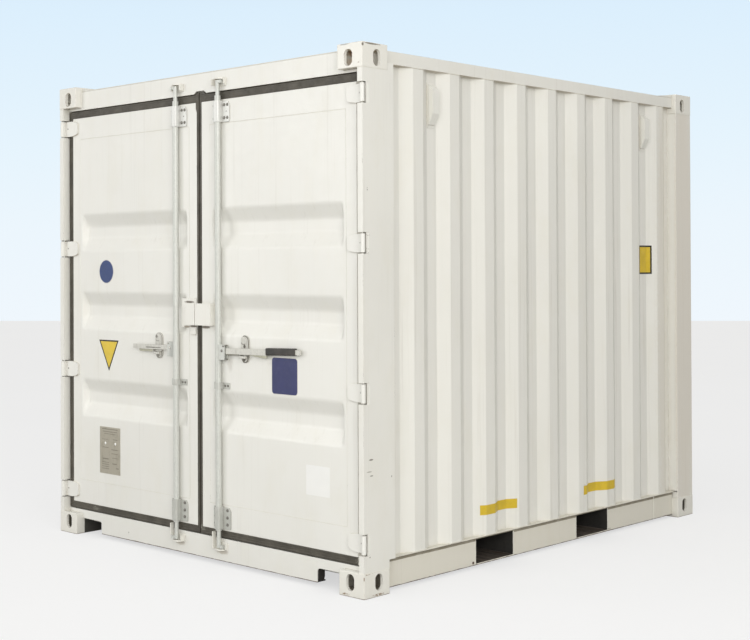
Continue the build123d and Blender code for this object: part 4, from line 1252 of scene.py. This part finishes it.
def tilted(x, y, z):
    """Point of the right handle, turned about its pivot to the angle at which it rests."""
    u, w = x - 0.212, z - 1.112
    return (0.212 + u * math.cos(TILT) - w * math.sin(TILT), y, 1.112 + u * math.sin(TILT) + w * math.cos(TILT))


def grip_ribs():
    b = Build()
    for k in range(11):
        x = 0.560 + k * 0.0165
        pts = []
        r = 0.0062
        z0, z1, y0, y1 = 1.093, 1.129, dd(12), dd(32)
        for cx, cz, a0 in ((y1 - r, z1 - r, 0), (y0 + r, z1 - r, 90), (y0 + r, z0 + r, 180), (y1 - r, z0 + r, 270)):
            for q in range(5):
                t = math.radians(a0 + q * 22.5)
                pts.append(tilted(x, cx + (r - 0.0002) * math.cos(t), cz + (r - 0.0002) * math.sin(t)))
        pts.append(pts[0])
        b.tube(pts, 0.0009, 6, normal=(1, 0, 0))
    return b


grip_ribs().piece("right_grip_ribs", mat_grip, "right_handle", "grip_rubber")


def handle_edges():
    """Dark rod under the right handle's lower edge near its pivot, painting the shadow there; the flange before the
    grip, in an olive that paints its shade; and on the left handle a thin dark strip painting the shade of a groove and
    an olive face painting the shaded lower lip.
    """
    b = Build()
    b.tube([tilted(x, dd(21.5), 1.112 - 0.0176 - (x - 0.240) * 0.012) for x in (0.240, 0.262, 0.285, 0.308, 0.330)], 0.0040, 12)
    b.piece("right_handle_shadow_rod", mat_shadow_olive, "right_handle", "galvanised")
    c = Build()
    out = [(0.405, 1.112 - 0.0190), (0.5405, 1.112 - 0.0200), (0.5405, 1.112 - 0.0345), (0.515, 1.112 - 0.0345), (0.460, 1.112 - 0.0275)]
    out = [(tilted(x, 0, z)[0], tilted(x, 0, z)[2]) for x, z in out]
    c.prism(out, dd(19), dd(24), 'y')
    c.piece("right_handle_flange", mat_shade_olive, "right_handle", "galvanised", bevel=0.0008)
    g = Build()
    g.prism([(-0.430, 1.1070), (-0.420, 1.1095), (-0.300, 1.1100), (-0.296, 1.1070), (-0.420, 1.1050)], dd(16.75), dd(17.2), 'y')
    g.piece("left_handle_groove_shade", mat_shade_dark, "left_handle", "galvanised")
    h = Build()
    h.prism([(-0.490, 1.0865), (-0.482, 1.0842), (-0.378, 1.0842), (-0.370, 1.0975), (-0.490, 1.0968)], dd(21.7), dd(22.2), 'y')
    h.piece("left_handle_lip_face", mat_shade_olive, "left_handle", "galvanised")


handle_edges()


# ---------------------------------------------------------------- films and plate
def rounded(x0, x1, z0, z1, r, n=6):
    pts = []
    for cx, cz, a0 in ((x1 - r, z1 - r, 0), (x0 + r, z1 - r, 90), (x0 + r, z0 + r, 180), (x1 - r, z0 + r, 270)):
        for q in range(n + 1):
            t = math.radians(a0 + q * 90.0 / n)
            pts.append((cx + r * math.cos(t), cz + r * math.sin(t)))
    return pts


def film(name, outline, mat, body, d0=41.55, d1=42.05):
    b = Build()
    b.prism(outline, dd(d0), dd(d1), 'y')
    return b.piece(name, mat, body)


film("right_blue_film_rim", rounded(0.553, 0.742, 0.908, 1.096, 0.020), mat_rim, "right_door")
film("right_blue_film", rounded(0.557, 0.738, 0.912, 1.092, 0.017), mat_blue, "right_door", 41.35, 41.9)
film("right_white_film", rounded(0.797, 0.958, 0.437, 0.582, 0.004), mat_white, "right_door")
disc = [(-0.820 + 0.070 * math.cos(2 * math.pi * k / 48), 1.520 + 0.070 * math.sin(2 * math.pi * k / 48)) for k in range(48)]
film("left_round_film_rim", disc, mat_rim, "left_door")
disc = [(-0.820 + 0.0645 * math.cos(2 * math.pi * k / 48), 1.520 + 0.0645 * math.sin(2 * math.pi * k / 48)) for k in range(48)]
film("left_round_film", disc, mat_blue_disc, "left_door", 41.35, 41.9)


def inset(tri, t):
    """The triangle with every side moved in by t."""
    a, b, c = math.dist(tri[1], tri[2]), math.dist(tri[2], tri[0]), math.dist(tri[0], tri[1])
    s = a + b + c
    cx, cz = [(a * tri[0][k] + b * tri[1][k] + c * tri[2][k]) / s for k in (0, 1)]
    area = abs((tri[1][0] - tri[0][0]) * (tri[2][1] - tri[0][1]) - (tri[2][0] - tri[0][0]) * (tri[1][1] - tri[0][1])) / 2
    f = 1 - t * s / (2 * area)
    return [(cx + (x - cx) * f, cz + (z - cz) * f) for x, z in tri]


tri = [(-0.890, 1.131), (-0.797, 0.956), (-0.707, 1.131)]
film("left_yellow_film_rim", tri, mat_film_black, "left_door")
film("left_yellow_film", inset(tri, 0.0084), mat_yellow_tri, "left_door", 41.35, 41.9)


def plate_details():
    b = Build()
    x0, x1, z0, z1 = -0.884, -0.694, 0.371, 0.636
    for x in (x0 + 0.012, x1 - 0.012):
        for z in (z0 + 0.012, z1 - 0.012):
            rivet(b, x, 40, z, 0.0042, 0.0022)
    # raised field borders
    def bar(a, c, e, f):
        b.box(a, c, dd(39.2), dd(40.1), e, f, 0.0002)
    bar(x0 + 0.022, x1 - 0.022, z1 - 0.030, z1 - 0.028)
    for z in (0.575, 0.545, 0.515, 0.480, 0.450, 0.420):
        bar(x0 + 0.022, x1 - 0.022, z, z + 0.0016)
    bar(-0.790, -0.7884, 0.420, 0.606)
    bar(x0 + 0.022, x0 + 0.0236, 0.420, 0.606)
    bar(x1 - 0.0236, x1 - 0.022, 0.420, 0.606)
    return b


plate_details().piece("data_plate_details", mat_plate, "left_door", "plate_metal")
b = Build()
for x0, x1, z, h in ((-0.862, -0.716, 0.6220, 0.0050), (-0.856, -0.722, 0.6080, 0.0040), (-0.842, -0.736, 0.5960, 0.0035),
                     (-0.862, -0.806, 0.5640, 0.0030), (-0.762, -0.714, 0.5660, 0.0040), (-0.858, -0.800, 0.5180, 0.0040),
                     (-0.774, -0.710, 0.5080, 0.0050), (-0.774, -0.712, 0.4860, 0.0040), (-0.858, -0.800, 0.4520, 0.0070),
                     (-0.766, -0.716, 0.4620, 0.0035), (-0.862, -0.796, 0.4340, 0.0035), (-0.862, -0.796, 0.4220, 0.0035),
                     (-0.862, -0.796, 0.4100, 0.0035), (-0.862, -0.796, 0.3980, 0.0035), (-0.766, -0.724, 0.4280, 0.0060),
                     (-0.730, -0.708, 0.4040, 0.0060)):
    b.box(x0, x1, dd(39.72), dd(40.05), z, z + h, 0.0001)
b.piece("data_plate_fields", vinyl("plate_fields", (0.245, 0.225, 0.18), fade=0.3), "left_door")
b = Build()
for x, z in ((-0.8293, 0.5440), (-0.7369, 0.5450)):
    b.turned((x, dd(39.9), z), (0, -1, 0), [(0, 0), (0.0078, 0), (0.0074, 0.0012), (0.0050, 0.0024), (0, 0.0028)], 18)
b.piece("data_plate_studs", mat_white, "left_door")


def wall_film(name, y0, y1, z0, z1, mat, lift=0.0012):
    """Film that follows the wall, its front a little proud of the sheet."""
    ys = [y0] + [k * 0.005 for k in range(-300, 300) if y0 + 1e-5 < k * 0.005 < y1 - 1e-5] + [y1]
    b = Build()
    b.sheet(ys, [z0, z1], lambda y, z: (wall_x(y) + lift, y, z), lambda y, z: (wall_x(y) - 0.0004, y, z))
    return b.piece(name, mat, "root", autosmooth=60)


wall_film("side_yellow_strip_a", -0.578, -0.277, 0.264, 0.314, mat_yellow)
wall_film("side_yellow_strip_b", 0.338, 0.690, 0.257, 0.307, mat_yellow)
wall_film("side_yellow_square_rim", 0.975, 1.100, 1.491, 1.662, mat_film_black)
wall_film("side_yellow_square", 0.985, 1.090, 1.5005, 1.6525, mat_yellow, 0.0018)


# ---------------------------------------------------------------- ventilator details
def vent_details():
    b, r = Build(), Build()
    for s in (1, -1):
        for k in (1, 8):
            yc = FIRST + k * PITCH + SLOPE + FLAT / 2
            x = WALL_OUT - WALL_DEPTH
            for z, h in ((2.2365, 0.0), (2.4460, 0.0)):
                for q in (-0.026, 0.013):
                    r.turned((s * (x + 0.003), yc + q, z), (s, 0, 0),
                             [(0, 0), (0.0034, 0), (0.0031, 0.0012), (0, 0.0019)], 12)
            # rolled rim where the hood leaves its flange
            e = [(yc - 0.0312, 2.2440), (yc + 0.0172, 2.2440), (yc + 0.0172, 2.4382), (yc - 0.0312, 2.4382), (yc - 0.0312, 2.2440)]
            path = []
            for p, q in zip(e, e[1:]):
                path += line((s * (x + 0.0030), p[0], p[1]), (s * (x + 0.0030), q[0], q[1]), 0.02)[:-1]
            path.append(Vector((s * (x + 0.0030), e[0][0], e[0][1])))
            b.tube(path, 0.0014, 6, normal=(1, 0, 0))
    b.piece("vent_flanges", mat_vent, "root", "vent_plastic")
    r.piece("vent_rivets", mat_vent, "root", "vent_plastic")


vent_details()


# ---------------------------------------------------------------- floor of the set, light
def stage():
    """Pale studio floor with a straight far edge."""
    near, half = 26.0, 60.0
    eye = Vector((5.508, -6.086, 0.0))
    f = Vector((VIEW_FWD.x, VIEW_FWD.y, 0)).normalized()
    r = Vector((f.y, -f.x, 0))

    def far(lat):
        return eye + f * (38.31 - 0.1013 * lat) + r * lat
    b = eye - f * near
    me = bpy.data.meshes.new("stage_floor")
    me.from_pydata([far(-half), far(half), b + r * half, b - r * half], [], [(0, 3, 2, 1)])
    ob = bpy.data.objects.new("stage_floor", me)
    bpy.context.scene.collection.objects.link(ob)
    m = Mat("stage_floor")
    lp = m.n('ShaderNodeLightPath')
    cam = lp.outputs['Is Camera Ray']
    # albedo: bright for the picture, duller for the light that it throws back at the part
    seen = m.mix(m.ramp(m.noise(0.4, 2.0), 0.3, 0.7), (0.30, 0.30, 0.30), (0.305, 0.305, 0.305))
    m.finish(m.mix(cam, (0.42, 0.415, 0.40), seen), 0.95, 0.0, 0.05)
    dist = m.math('ADD', m.mul(m.x, -0.6949), m.mul(m.y, 0.7191))
    glow = m.ramp(dist, -9.0, 6.0, 0.615, 0.624)
    m.b.inputs['Emission Color'].default_value = (1.0, 1.0, 1.0, 1.0)
    m.link(m.mul(glow, cam), m.b.inputs['Emission Strength'])
    me.materials.append(m.m)
    ob.location.z = -0.0005
    return ob


stage()


def srgb(*v):
    return tuple(((c / 255.0) / 12.92 if c <= 10 else ((c / 255.0 + 0.055) / 1.055) ** 2.4) for c in v)


def world():
    w = bpy.data.worlds.new("studio")
    bpy.context.scene.world = w
    w.use_nodes = True
    t = w.node_tree
    t.nodes.clear()
    tc = t.nodes.new('ShaderNodeTexCoord')
    s = t.nodes.new('ShaderNodeSeparateXYZ')
    t.links.new(tc.outputs['Generated'], s.inputs[0])
    mr = t.nodes.new('ShaderNodeMapRange')
    mr.inputs['From Min'].default_value = -0.5
    mr.inputs['From Max'].default_value = 1.0
    t.links.new(s.outputs[2], mr.inputs['Value'])

    def ramp(stops):
        ra = t.nodes.new('ShaderNodeValToRGB')
        t.links.new(mr.outputs[0], ra.inputs[0])
        el = ra.color_ramp.elements
        while len(el) < len(stops):
            el.new(0.5)
        for e, (z, c) in zip(el, stops):
            e.position = (z + 0.5) / 1.5
            e.color = (c[0], c[1], c[2], 1)
        return ra.outputs[0]
    backdrop = ramp([(-0.5, (0.80, 0.80, 0.80)), (-0.060, srgb(233, 233, 233)), (-0.0555, srgb(233, 233, 233)),
                     (-0.0550, srgb(240, 247, 253)), (0.03, srgb(236, 246, 253)), (0.09, srgb(230, 244, 253)),
                     (0.185, srgb(220, 239, 253)), (0.40, (0.50, 0.56, 0.60)), (1.0, (0.50, 0.52, 0.54))])
    room = ramp([(-0.5, (0.33, 0.325, 0.31)), (-0.02, (0.40, 0.395, 0.38)), (0.02, (0.54, 0.537, 0.525)),
                 (0.35, (0.62, 0.618, 0.605)), (1.0, (0.66, 0.657, 0.645))])
    lp = t.nodes.new('ShaderNodeLightPath')
    mix = t.nodes.new('ShaderNodeMix')
    mix.data_type = 'RGBA'
    t.links.new(lp.outputs['Is Camera Ray'], mix.inputs[0])
    t.links.new(room, mix.inputs[6])
    t.links.new(backdrop, mix.inputs[7])
    bg = t.nodes.new('ShaderNodeBackground')
    t.links.new(mix.outputs[2], bg.inputs[0])
    out = t.nodes.new('ShaderNodeOutputWorld')
    t.links.new(bg.outputs[0], out.inputs[0])


world()


def area(name, loc, target, size, power, colour=(1, 1, 1), size_y=None):
    d = bpy.data.lights.new(name, 'AREA')
    d.shape = 'RECTANGLE'
    d.size = size
    d.size_y = size_y or size
    d.energy = power
    d.color = colour
    ob = bpy.data.objects.new(name, d)
    bpy.context.scene.collection.objects.link(ob)
    ob.location = loc
    ob.rotation_mode = 'QUATERNION'
    ob.rotation_quaternion = (Vector(target) - Vector(loc)).to_track_quat('-Z', 'Y')
    ob.visible_camera = False
    return ob


area("key_left", (-6.5, -9.5, 3.1), (0, -1.4, 1.3), 4.5, 222)
area("fill_right", (6.5, -11.0, 2.8), (0.4, -0.6, 1.2), 5.0, 260)
area("top_front", (0.5, -9.5, 7.0), (0.0, -0.8, 1.3), 4.0, 48)
area("side_right", (9.0, -5.5, 4.8), (1.0, -0.8, 1.3), 4.0, 235, (1.0, 0.99, 0.965))
area("side_front", (9.5, -8.0, 2.5), (1.0, -0.8, 1.3), 4.5, 215, (1.0, 0.99, 0.965))

scene = bpy.context.scene
scene.view_settings.view_transform = 'Standard'
scene.view_settings.look = 'None'
scene.cycles.use_denoising = True
scene.cycles.max_bounces = 6
scene.cycles.diffuse_bounces = 4
scene.cycles.glossy_bounces = 3
scene.cycles.transmission_bounces = 2
